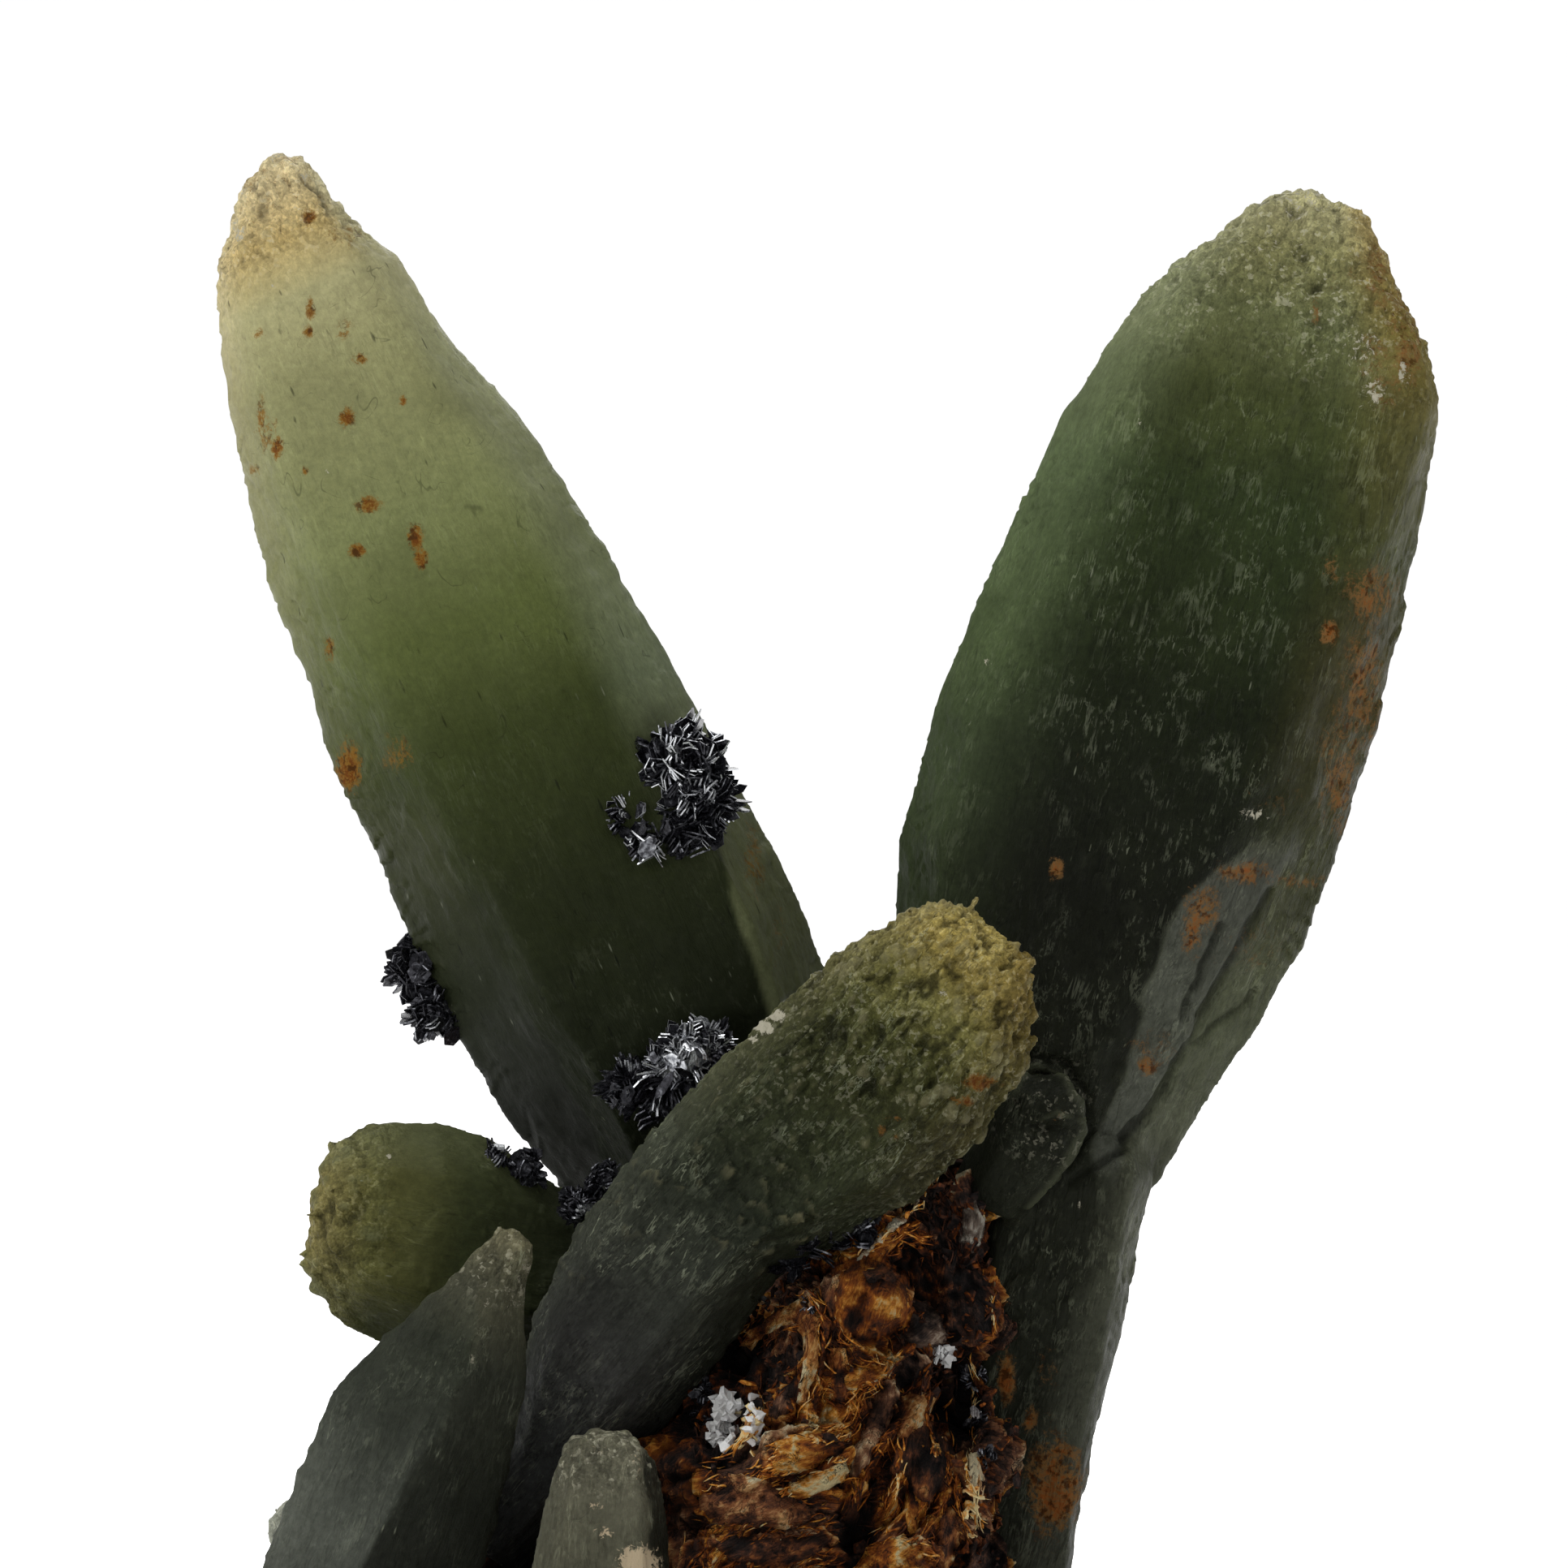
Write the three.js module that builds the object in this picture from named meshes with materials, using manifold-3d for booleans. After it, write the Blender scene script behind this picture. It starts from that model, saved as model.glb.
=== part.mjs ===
// A prase quartz crystal cluster: tapering green quartz crystals with rough, many-pointed tips,
// hematite roses of thin steel-black blades, and the rusty iron-oxide matrix that they grew on.
// Millimetres, +Z up. The front of the cluster faces -Y. The origin is the centre of the flat-cut base.
import * as THREE from "three";
import { mergeVertices } from "three/addons/utils/BufferGeometryUtils.js";
import Module from "manifold-3d";

const wasm = await Module();
wasm.setup();

const GAP = 0.3; // clearance between two pieces that grew against each other
const FRONT = new THREE.Vector3(0, -1, 0);
const BLADE_THICKNESS = 0.5;
const BLADE_SIDES = 6;
const BLADE_SHARE = 0.5; // a blade's radius, and its distance from the heart, as a share of its tuft's radius
const CORE_SHARE = 0.76; // a rose's blades are grown together up to this share of its radius
const POINT_LENGTH = 1.9; // length of a small crystal point, in its own radii
const MATRIX_HEART = [-4, -1, 22]; // every part of the matrix's surface faces this place
const MATRIX_DETAIL = 8;
const MATRIX_FOLD = 2.2; // how far the matrix's surface wanders in and out
const MATRIX_BLEND = 3; // how softly one lump runs into the next
const MATRIX_FOOT = 0; // height of the flat cut

// Every crystal runs from its root to its tip. A ring is [distance from the tip, left half-width, right half-width].
// A ridge is one long edge of the prism: its place between the left and right edge, at the tip and at the root,
// and its rise as a share of half the crystal's depth. Depth is a share of the width.
// Points are the small crystals that make its tip rough: how many, their radius, and how far down they reach.
const LEFT_CRYSTAL = {
  tip: [-42.2, 9, 128.4],
  root: [-5.3, 11, 43.1],
  depth: 0.78,
  rings: [
    [1.2, 4, 1.9],
    [4.5, 7.5, 3.1],
    [10.5, 10.2, 6],
    [17.5, 12, 7],
    [24.5, 13.2, 9.3],
    [36, 14.3, 11.5],
    [50, 15.1, 12.9],
    [64, 14.5, 14.3],
    [74, 13.3, 14],
    [82, 11.6, 10],
    [93, 8, 7],
  ],
  front: [
    { tip: 0.2, root: 0.3, rise: 0.92 },
    { tip: 0.84, root: 0.86, rise: 0.8 },
  ],
  back: [
    { tip: 0.75, root: 0.7, rise: 0.95 },
    { tip: 0.25, root: 0.2, rise: 0.85 },
  ],
  points: { count: 28, radius: [1, 1.9], reach: 14 },
};
const RIGHT_CRYSTAL = {
  tip: [37.5, 8, 126],
  root: [16.9, 4, 48.8],
  depth: 0.68,
  rings: [
    [0.8, 3.2, 4],
    [4.2, 6.6, 7.6],
    [9.5, 10.8, 11.9],
    [13.5, 12.5, 13.9],
    [21, 14.8, 14.3],
    [33, 16.6, 15.3],
    [45, 18.5, 15.5],
    [56, 18.4, 14.1],
    [66, 16, 11.5],
    [76, 12, 8.1],
    [83, 8, 4],
  ],
  front: [
    { tip: 0.14, root: 0.1, rise: 0.75 },
    { tip: 0.95, root: 0.6, rise: 1 },
    { tip: 0.98, root: 0.82, rise: 0.62 },
  ],
  back: [
    { tip: 0.78, root: 0.7, rise: 0.9 },
    { tip: 0.3, root: 0.25, rise: 1 },
  ],
  points: { count: 36, radius: [1.2, 2.3], reach: 15 },
};
const STEM_CRYSTAL = {
  tip: [23.8, 1.5, 53.8],
  root: [15.3, 2.5, 8],
  depth: 0.8,
  rings: [
    [0.5, 9, 0.5],
    [3, 12, 2],
    [12, 12, 1.9],
    [24, 10.5, 0.9],
    [34, 9.5, 1.5],
    [46, 8, 1.5],
  ],
  front: [
    { tip: 0.2, root: 0.2, rise: 0.9 },
    { tip: 0.88, root: 0.97, rise: 1 },
  ],
  back: [
    { tip: 0.8, root: 0.8, rise: 0.9 },
    { tip: 0.3, root: 0.3, rise: 1 },
  ],
};
const SHOULDER_CRYSTAL = {
  tip: [18.2, -6.4, 58],
  root: [11.8, -2.4, 48],
  depth: 0.85,
  rings: [
    [0.4, 2, 2],
    [1.8, 3.4, 3.4],
    [5, 4, 3.8],
    [11.5, 3.6, 3.6],
  ],
  front: [
    { tip: 0.25, root: 0.3, rise: 1 },
    { tip: 0.8, root: 0.75, rise: 0.9 },
  ],
  back: [{ tip: 0.5, root: 0.5, rise: 0.8 }],
  points: { count: 9, radius: [1, 1.7], reach: 4 },
};
const FRONT_CRYSTAL = {
  tip: [12.6, -15.5, 69.8],
  root: [-17.2, -8.5, 34.4],
  depth: 0.74,
  rings: [
    [0.3, 3.2, 3],
    [1.8, 5.2, 5.8],
    [6.4, 7.2, 8.2],
    [13, 8.6, 9.3],
    [20, 9.6, 8.6],
    [26, 10, 6.2],
    [31, 10, 4.6],
    [38, 9.8, 5.3],
    [46, 8, 5.6],
    [54, 3.6, 5.2],
    [62, 2.5, 4.6],
  ],
  front: [
    { tip: 0.14, root: 0.22, rise: 0.8 },
    { tip: 0.88, root: 0.6, rise: 1 },
  ],
  back: [
    { tip: 0.75, root: 0.7, rise: 0.9 },
    { tip: 0.25, root: 0.25, rise: 0.9 },
  ],
  points: { count: 34, radius: [1.3, 2.4], reach: 13 },
};
const STUB_CRYSTAL = {
  tip: [-40, -4.5, 46.9],
  root: [-15.4, 0.5, 43.2],
  depth: 0.62,
  rings: [
    [0.2, 2.8, 3.6],
    [1.2, 4.9, 6.9],
    [4.2, 7.4, 8.8],
    [9, 9, 9.4],
    [13, 8.9, 8.5],
    [18.5, 8, 6.2],
    [24, 6, 4],
  ],
  front: [
    { tip: 0.3, root: 0.3, rise: 1 },
    { tip: 0.8, root: 0.8, rise: 0.8 },
  ],
  back: [
    { tip: 0.75, root: 0.7, rise: 0.9 },
    { tip: 0.25, root: 0.3, rise: 0.9 },
  ],
  points: { count: 20, radius: [1, 1.8], reach: 4.5 },
};
const LOWER_LEFT_CRYSTAL = {
  tip: [-23.8, -17.5, 46.5],
  root: [-37.7, -15.5, 8.4],
  depth: 0.7,
  rings: [
    [0.6, 1.4, 1.4],
    [4.6, 3.8, 2.6],
    [10, 6.9, 4.7],
    [15, 9, 5.8],
    [22, 9.7, 6.5],
    [30, 9.8, 7.2],
    [40, 8.4, 6.5],
  ],
  front: [
    { tip: 0.12, root: 0.05, rise: 0.35 },
    { tip: 0.68, root: 0.44, rise: 1 },
  ],
  back: [
    { tip: 0.8, root: 0.8, rise: 0.9 },
    { tip: 0.3, root: 0.3, rise: 0.9 },
  ],
  points: { count: 10, radius: [0.6, 1.1], reach: 6 },
};
const LOW_FRONT_CRYSTAL = {
  tip: [-17.2, -20, 31.9],
  root: [-17.8, -18, 9],
  depth: 0.8,
  rings: [
    [0.5, 2.4, 2.8],
    [2.2, 3.4, 4.3],
    [6, 4.4, 5.2],
    [12, 5.5, 5.6],
    [22.5, 6, 5.8],
  ],
  front: [
    { tip: 0.2, root: 0.15, rise: 0.85 },
    { tip: 0.8, root: 0.82, rise: 1 },
  ],
  back: [
    { tip: 0.75, root: 0.75, rise: 0.9 },
    { tip: 0.25, root: 0.25, rise: 0.9 },
  ],
  points: { count: 10, radius: [0.6, 1.1], reach: 3.5 },
};
const HIDDEN_STUB_CRYSTAL = {
  tip: [-42, -5, 25.8],
  root: [-31, -5, 14],
  depth: 0.85,
  rings: [
    [0.3, 2, 1.8],
    [2, 3.2, 2.8],
    [8, 3.7, 3.3],
    [16, 3.4, 3.2],
  ],
  front: [
    { tip: 0.25, root: 0.25, rise: 0.9 },
    { tip: 0.75, root: 0.75, rise: 0.9 },
  ],
  back: [
    { tip: 0.75, root: 0.75, rise: 0.9 },
    { tip: 0.25, root: 0.25, rise: 0.9 },
  ],
  points: { count: 5, radius: [0.5, 0.9], reach: 2 },
};

// A rose is one or more tufts of thin six-sided blades. A tuft is its heart, its radius and its number of blades.
const ROSES = {
  rose_on_left_crystal: [
    { heart: [-10.9, 2.6, 81.4], radius: 4.9, blades: 11 },
    { heart: [-14.2, 2.2, 77.8], radius: 3.3, blades: 5 },
  ],
  rose_on_left_edge: [
    { heart: [-31.6, 11.2, 66.8], radius: 3.1, blades: 5 },
    { heart: [-30, 11.2, 63.3], radius: 3.3, blades: 5 },
  ],
  rose_in_valley: [
    { heart: [-13, -0.2, 57.9], radius: 4.5, blades: 10 },
    { heart: [-9.4, -0.4, 60.1], radius: 3, blades: 4 },
  ],
  rose_on_stub: [
    { heart: [-25.6, -2.6, 52.1], radius: 1.9, blades: 4 },
    { heart: [-23.4, -2.4, 51.2], radius: 2.2, blades: 4 },
  ],
  rose_in_seam: [
    { heart: [-17.1, -6.6, 50.2], radius: 2.2, blades: 4 },
    { heart: [-19, -6.6, 48.4], radius: 2.2, blades: 4 },
  ],
  rose_on_matrix: [
    { heart: [-0.6, -11.5, 46], radius: 3.2, blades: 6 },
    { heart: [1.7, -10.8, 47.6], radius: 2.2, blades: 3 },
  ],
};

// Pale blocky crystals seated in the matrix: the middle of the group, its reach and its number of blocks.
const PALE_CRYSTALS = {
  pale_crystals_left: { heart: [-7.2, -15, 32.8], reach: 1.6, blocks: 6, side: [1.8, 2.8] },
  pale_crystals_right: { heart: [9.2, -11.4, 37.3], reach: 0.8, blocks: 3, side: [1.2, 1.7] },
};

// The matrix is one lumpy mass. Each lump is [its middle, its half-sizes].
const LUMPS = [
  [[2.6, -4.5, 35], [8.4, 8, 15]],
  [[7.6, -2.5, 43.5], [5, 6, 9]],
  [[-3, 0, 6], [23, 20, 21]],
  [[-25, -6, -1], [20, 15, 16]],
  [[-26, -3, 13], [9, 8, 13]],
  [[-6, 11, 30], [12, 9, 17]],
  [[9, 2, 2], [13, 15, 17]],
  [[-3, -10, 20], [13, 10, 14]],
  [[-13, -3, 32], [8, 7, 12]],
];

const PRASE = { color: 0x3c4626, roughness: 0.45, metalness: 0 };
const HEMATITE = { color: 0x1c1e22, roughness: 0.25, metalness: 0.9 };
const IRON_OXIDE = { color: 0x5a2a10, roughness: 0.95, metalness: 0 };
const PALE_QUARTZ = { color: 0xb9bcb0, roughness: 0.3, metalness: 0 };

// A repeatable stream of numbers from 0 to 1.
function seeded(seed) {
  let state = seed >>> 0;
  return () => {
    state = (state + 0x6d2b79f5) >>> 0;
    let mixed = Math.imul(state ^ (state >>> 15), state | 1);
    mixed ^= mixed + Math.imul(mixed ^ (mixed >>> 7), mixed | 61);
    return ((mixed ^ (mixed >>> 14)) >>> 0) / 4294967296;
  };
}

const between = (random, [low, high]) => low + (high - low) * random();

function randomDirection(random) {
  const height = 2 * random() - 1;
  const angle = 2 * Math.PI * random();
  const flat = Math.sqrt(1 - height * height);
  return new THREE.Vector3(flat * Math.cos(angle), flat * Math.sin(angle), height);
}

// A closed geometry as a solid, turned inside out where its faces point inwards.
function toSolid(geometry) {
  const bare = new THREE.BufferGeometry().setAttribute("position", geometry.getAttribute("position"));
  if (geometry.index) bare.setIndex(geometry.index);
  const merged = mergeVertices(bare, 1e-4);
  const make = (triVerts) =>
    new wasm.Manifold(
      new wasm.Mesh({ numProp: 3, vertProperties: merged.attributes.position.array, triVerts }),
    );
  const triVerts = new Uint32Array(merged.index.array);
  const solid = make(triVerts);
  return solid.volume() > 0 ? solid : make(triVerts.reverse());
}

function toGeometry(solid) {
  const mesh = solid.getMesh();
  return new THREE.BufferGeometry()
    .setAttribute("position", new THREE.BufferAttribute(new Float32Array(mesh.vertProperties), 3))
    .setIndex(new THREE.BufferAttribute(new Uint32Array(mesh.triVerts), 1));
}

const largest = (solid) => solid.decompose().reduce((best, piece) => (piece.volume() > best.volume() ? piece : best));

// The crystal's own directions: along from root to tip, right across it as seen from the front, and forward.
function directionsOf({ tip, root }) {
  const end = new THREE.Vector3(...tip);
  const along = end.clone().sub(new THREE.Vector3(...root)).normalize();
  const right = along.clone().cross(FRONT).normalize();
  const forward = right.clone().cross(along).normalize();
  return { end, along, right, forward };
}

// The corners of one ring, round the crystal from its left edge over the front to the right edge and the back.
function ringCorners(crystal, [distance, left, right], grow) {
  const axes = directionsOf(crystal);
  const lowest = crystal.rings.at(-1)[0];
  const share = THREE.MathUtils.smoothstep(distance, 0, lowest);
  const width = left + right;
  const halfDepth = (crystal.depth * width) / 2;
  const at = (across, deep) =>
    axes.end
      .clone()
      .addScaledVector(axes.along, -distance)
      .addScaledVector(axes.right, across)
      .addScaledVector(axes.forward, deep);
  const ridgeCorner = (ridge, side) => {
    const place = THREE.MathUtils.lerp(ridge.tip, ridge.root, share);
    return at(place * (width + 2 * grow) - left - grow, side * (halfDepth * ridge.rise + grow));
  };
  return [
    at(-left - grow, 0),
    ...crystal.front.map((ridge) => ridgeCorner(ridge, 1)),
    at(right + grow, 0),
    ...crystal.back.map((ridge) => ridgeCorner(ridge, -1)),
  ];
}

// The prism itself: flat faces between its rings, a point at the tip and a flat root.
function prism(crystal, grow = 0) {
  const { end, along } = directionsOf(crystal);
  const rings = crystal.rings.map((ring) => ringCorners(crystal, ring, grow));
  const sides = rings[0].length;
  const apex = end.clone().addScaledVector(along, grow);
  const foot = rings.at(-1).reduce((sum, corner) => sum.add(corner), new THREE.Vector3());
  foot.divideScalar(sides).addScaledVector(along, -grow);
  const points = [apex, ...rings.flat(), foot];
  const corner = (ring, side) => 1 + ring * sides + (side % sides);
  const faces = [];
  for (let side = 0; side < sides; side++) {
    faces.push(0, corner(0, side + 1), corner(0, side));
    for (let ring = 0; ring < rings.length - 1; ring++) {
      faces.push(corner(ring, side), corner(ring, side + 1), corner(ring + 1, side));
      faces.push(corner(ring, side + 1), corner(ring + 1, side + 1), corner(ring + 1, side));
    }
    faces.push(points.length - 1, corner(rings.length - 1, side), corner(rings.length - 1, side + 1));
  }
  return toSolid(new THREE.BufferGeometry().setFromPoints(points).setIndex(faces));
}

// A small six-sided crystal point with its axis along a direction.
function smallPoint(middle, direction, radius, length) {
  const cone = new THREE.ConeGeometry(radius, length, 6);
  const turn = new THREE.Quaternion().setFromUnitVectors(new THREE.Vector3(0, 1, 0), direction);
  cone.applyQuaternion(turn).translate(middle.x, middle.y, middle.z);
  return toSolid(cone);
}

// Small points that stand on the crystal near its tip, all leaning the way the crystal grows.
function tipPoints(crystal, seed) {
  const random = seeded(seed);
  const { along } = directionsOf(crystal);
  const { count, radius, reach } = crystal.points;
  const rings = crystal.rings;
  return Array.from({ length: count }, () => {
    const distance = rings[0][0] + reach * random() ** 1.4;
    const below = Math.max(1, rings.findIndex((ring) => ring[0] >= distance));
    const [upper, lower] = [rings[below - 1], rings[below]];
    const share = (distance - upper[0]) / (lower[0] - upper[0]);
    const ring = upper.map((size, i) => THREE.MathUtils.lerp(size, lower[i], share));
    const corners = ringCorners(crystal, ring, 0);
    const side = Math.floor(random() * corners.length);
    const middle = corners[side].clone().lerp(corners[(side + 1) % corners.length], random());
    const centre = corners.reduce((sum, corner) => sum.add(corner), new THREE.Vector3()).divideScalar(corners.length);
    const outwards = middle.clone().sub(centre).normalize();
    const size = between(random, radius);
    const lean = along.clone().addScaledVector(outwards, 0.35).normalize();
    return smallPoint(middle.addScaledVector(outwards, -0.3 * size), lean, size, POINT_LENGTH * size);
  });
}

function crystalSolid(crystal, seed) {
  const body = prism(crystal);
  if (!crystal.points) return body;
  return largest(wasm.Manifold.union([body, ...tipPoints(crystal, seed)]));
}

// One thin six-sided blade of hematite that stands out of the tuft edge on.
function blade({ heart, radius }, random, grow) {
  const size = BLADE_SHARE * radius * (0.85 + 0.3 * random()) + grow;
  const plate = new THREE.CylinderGeometry(size, size, BLADE_THICKNESS + 2 * grow, BLADE_SIDES);
  const outwards = randomDirection(random);
  const flat = outwards.clone().cross(randomDirection(random)).normalize();
  const turn = new THREE.Quaternion().setFromUnitVectors(new THREE.Vector3(0, 1, 0), flat);
  const middle = new THREE.Vector3(...heart).addScaledVector(outwards, BLADE_SHARE * radius);
  plate.applyQuaternion(turn).translate(middle.x, middle.y, middle.z);
  return toSolid(plate);
}

function roseSolid(tufts, seed, grow = 0) {
  const random = seeded(seed);
  const pieces = tufts.flatMap((tuft) => {
    const core = new THREE.IcosahedronGeometry(CORE_SHARE * tuft.radius + grow, 0).translate(...tuft.heart);
    return [toSolid(core), ...Array.from({ length: tuft.blades }, () => blade(tuft, random, grow))];
  });
  return wasm.Manifold.union(pieces);
}

function paleSolid({ heart, reach, blocks, side }, seed, grow = 0) {
  const random = seeded(seed);
  const made = Array.from({ length: blocks }, () => {
    const size = between(random, side) + 2 * grow;
    const block = new THREE.BoxGeometry(size, size * 0.8, size * 1.1);
    const turn = new THREE.Quaternion().setFromUnitVectors(new THREE.Vector3(0, 0, 1), randomDirection(random));
    const middle = randomDirection(random).multiplyScalar(reach).add(new THREE.Vector3(...heart));
    block.applyQuaternion(turn).translate(middle.x, middle.y, middle.z);
    return toSolid(block);
  });
  return wasm.Manifold.union([...made, toSolid(new THREE.IcosahedronGeometry(reach + grow, 0).translate(...heart))]);
}

// How far the matrix's surface stands out at a place: folds of several sizes laid over each other,
// each with a sharp crest, so that ledges and ridges show.
const WAVES = Array.from({ length: 5 }, (_, i) => {
  const random = seeded(40 + i);
  return { direction: randomDirection(random).multiplyScalar(0.15 * 1.3 ** i), phase: 6.28 * random(), size: 0.85 ** i };
});
const fold = (place) =>
  WAVES.reduce((sum, wave) => sum + wave.size * (1 - 2 * Math.abs(Math.sin(place.dot(wave.direction) + wave.phase))), 0) / 2;

// The distance of a place from the lumps' joint surface, less than 0 inside it.
function distanceFromLumps(place) {
  const nearness = LUMPS.reduce((sum, [middle, radii]) => {
    const offset = place.clone().sub(new THREE.Vector3(...middle)).divide(new THREE.Vector3(...radii));
    return sum + Math.exp((Math.min(...radii) * (1 - offset.length())) / MATRIX_BLEND);
  }, 0);
  return -MATRIX_BLEND * Math.log(nearness) - MATRIX_FOLD * fold(place);
}

// The matrix: a ball of flat faces whose corners are pushed out to the lumps' surface.
function matrixMass() {
  const ball = new THREE.IcosahedronGeometry(1, MATRIX_DETAIL);
  const corners = ball.getAttribute("position");
  const heart = new THREE.Vector3(...MATRIX_HEART);
  const outwards = new THREE.Vector3();
  const place = (distance) => heart.clone().addScaledVector(outwards, distance);
  for (let i = 0; i < corners.count; i++) {
    outwards.fromBufferAttribute(corners, i);
    let outside = 2;
    while (distanceFromLumps(place(outside)) < 0) outside += 1;
    let inside = outside - 1;
    for (let halving = 0; halving < 10; halving++) {
      const half = (inside + outside) / 2;
      if (distanceFromLumps(place(half)) < 0) inside = half;
      else outside = half;
    }
    corners.setXYZ(i, ...place(inside).toArray());
  }
  return toSolid(ball);
}

const crystals = {
  left_crystal: [LEFT_CRYSTAL],
  right_crystal: [RIGHT_CRYSTAL, STEM_CRYSTAL, SHOULDER_CRYSTAL],
  front_crystal: [FRONT_CRYSTAL],
  stub_crystal: [STUB_CRYSTAL],
  lower_left_crystal: [LOWER_LEFT_CRYSTAL],
  low_front_crystal: [LOW_FRONT_CRYSTAL],
  hidden_stub_crystal: [HIDDEN_STUB_CRYSTAL],
};
const grownCrystals = wasm.Manifold.union(Object.values(crystals).flat().map((crystal) => prism(crystal, GAP)));

const solids = new Map();
Object.entries(crystals).forEach(([name, members], i) => {
  const parts = members.map((crystal, j) => crystalSolid(crystal, 100 + 10 * i + j));
  solids.set(name, [largest(wasm.Manifold.union(parts)), PRASE]);
});
Object.entries(ROSES).forEach(([name, tufts], i) => {
  solids.set(name, [largest(roseSolid(tufts, 200 + i).subtract(grownCrystals)), HEMATITE]);
});
Object.entries(PALE_CRYSTALS).forEach(([name, group], i) => {
  solids.set(name, [paleSolid(group, 300 + i), PALE_QUARTZ]);
});

const seats = [
  grownCrystals,
  ...Object.values(ROSES).map((tufts, i) => roseSolid(tufts, 200 + i, GAP)),
  ...Object.values(PALE_CRYSTALS).map((group, i) => paleSolid(group, 300 + i, GAP)),
];
const ground = toSolid(new THREE.BoxGeometry(200, 200, 100).translate(0, 0, MATRIX_FOOT - 50));
const mass = matrixMass().subtract(wasm.Manifold.union([ground, ...seats]));
solids.set("matrix", [largest(mass), IRON_OXIDE]);

const cluster = new THREE.Group();
for (const [name, [solid, finish]] of solids) {
  const mesh = new THREE.Mesh(toGeometry(solid), new THREE.MeshStandardMaterial({ ...finish, flatShading: true }));
  mesh.name = name;
  cluster.add(mesh);
}

const reach = new THREE.Box3().setFromObject(cluster);
const middle = reach.getCenter(new THREE.Vector3());
cluster.position.set(-middle.x, -middle.y, -reach.min.z);

export default cluster;
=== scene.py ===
"""A prase quartz crystal cluster: cloudy green quartz crystals with sugary tips, roses of steel-black
hematite blades, and the rusty, fibrous iron-oxide matrix that they stand on. Metres, +Z up, front at -Y."""

import math
from dataclasses import dataclass
from functools import partial

import bpy
import numpy as np
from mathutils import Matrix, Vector
from mathutils.bvhtree import BVHTree


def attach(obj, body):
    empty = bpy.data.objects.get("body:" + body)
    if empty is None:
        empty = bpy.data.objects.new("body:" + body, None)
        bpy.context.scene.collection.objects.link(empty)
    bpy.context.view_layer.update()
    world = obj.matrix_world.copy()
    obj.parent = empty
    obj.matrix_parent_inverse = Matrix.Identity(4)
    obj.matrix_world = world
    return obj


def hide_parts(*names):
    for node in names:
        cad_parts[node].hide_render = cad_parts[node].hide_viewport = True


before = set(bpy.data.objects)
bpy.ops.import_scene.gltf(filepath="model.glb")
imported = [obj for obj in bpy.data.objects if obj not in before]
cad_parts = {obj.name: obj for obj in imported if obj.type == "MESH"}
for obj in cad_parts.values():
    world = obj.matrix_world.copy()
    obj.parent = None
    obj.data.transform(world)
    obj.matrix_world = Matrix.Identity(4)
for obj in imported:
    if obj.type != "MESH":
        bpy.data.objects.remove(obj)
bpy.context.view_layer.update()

bl_info = {
    "name": "Prase Quartz Cluster",
    "version": (1, 0, 0),
    "blender": (4, 5, 0),
    "location": "View3D > Sidebar > Prase Cluster",
    "description": "Builds the visible surface of a prase quartz crystal cluster with hematite roses",
    "category": "Object",
}

MM = 0.001
ORIGIN = np.array((-0.07, 1.17, 0.0))  # from the places measured on the photograph to the row frame, in mm
PIXELS_PER_MM = 16.0
PIXEL_ORIGIN = (1020.0, 2260.0)  # the pixel of X = 0 and Z = 0
PHOTO_SIDE = 1932.0
FRONT = np.array((0.0, -1.0, 0.0))
STUDIO_LEVEL = 0.72  # how much of the studio's light a front face sends back


def photo_place(u, v):
    """The X and Z, in mm of the row frame, that a pixel of the photograph shows."""
    x = (u - PIXEL_ORIGIN[0]) / PIXELS_PER_MM + ORIGIN[0]
    z = (PIXEL_ORIGIN[1] - v) / PIXELS_PER_MM + ORIGIN[2]
    return x, z


def linear(*rgb):
    """An 8-bit screen colour as the linear one that shaders take."""
    values = [c / 255 for c in rgb]
    return tuple(c / 12.92 if c <= 0.04045 else ((c + 0.055) / 1.055) ** 2.4 for c in values) + (1.0,)


def seen(*rgb):
    """The base colour of a surface that looks like this 8-bit screen colour under the studio's light."""
    return tuple(min(c / STUDIO_LEVEL, 0.9) for c in linear(*rgb)[:3]) + (1.0,)


def unit(v):
    return v / np.linalg.norm(v)


def unit_rows(rows, slack=0.0):
    return rows / (np.linalg.norm(rows, axis=1)[:, None] + slack)


# Noise over arrays of places


FAR = 1e9  # beyond every distance


def smoothstep(low, high, x):
    t = np.clip((x - low) / (high - low), 0, 1)
    return t * t * (3 - 2 * t)


def hashed(cells, seed):
    """A repeatable number from 0 to 1 for each whole-number cell."""
    c = cells.astype(np.int64)
    h = (c[..., 0] * 73856093) ^ (c[..., 1] * 19349663) ^ (c[..., 2] * 83492791) ^ (seed * 2654435761)
    h &= 0xFFFFFFFF
    h ^= h >> 15
    h = (h * 0x2C1B3C6D) & 0xFFFFFFFF
    h ^= h >> 12
    h = (h * 0x297A2D39) & 0xFFFFFFFF
    h ^= h >> 15
    return h / 4294967296.0


def noise(places, seed):
    """Smooth noise from -1 to 1, one unit to a cell."""
    base = np.floor(places)
    t = places - base
    t = t * t * (3 - 2 * t)
    total = np.zeros(len(places))
    for corner in np.ndindex(2, 2, 2):
        step = np.array(corner)
        weight = np.prod(np.where(step == 1, t, 1 - t), axis=1)
        total += weight * hashed(base + step, seed)
    return 2 * total - 1


def noise3(places, seed):
    """Three smooth noises, to bend places with."""
    return np.column_stack([noise(places, seed + axis) for axis in range(3)])


def fractal(places, seed, octaves=3):
    total, size, weight = np.zeros(len(places)), 1.0, 1.0
    for octave in range(octaves):
        total += weight * noise(places * size, seed + octave)
        size *= 2.03
        weight *= 0.5
    return total


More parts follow.
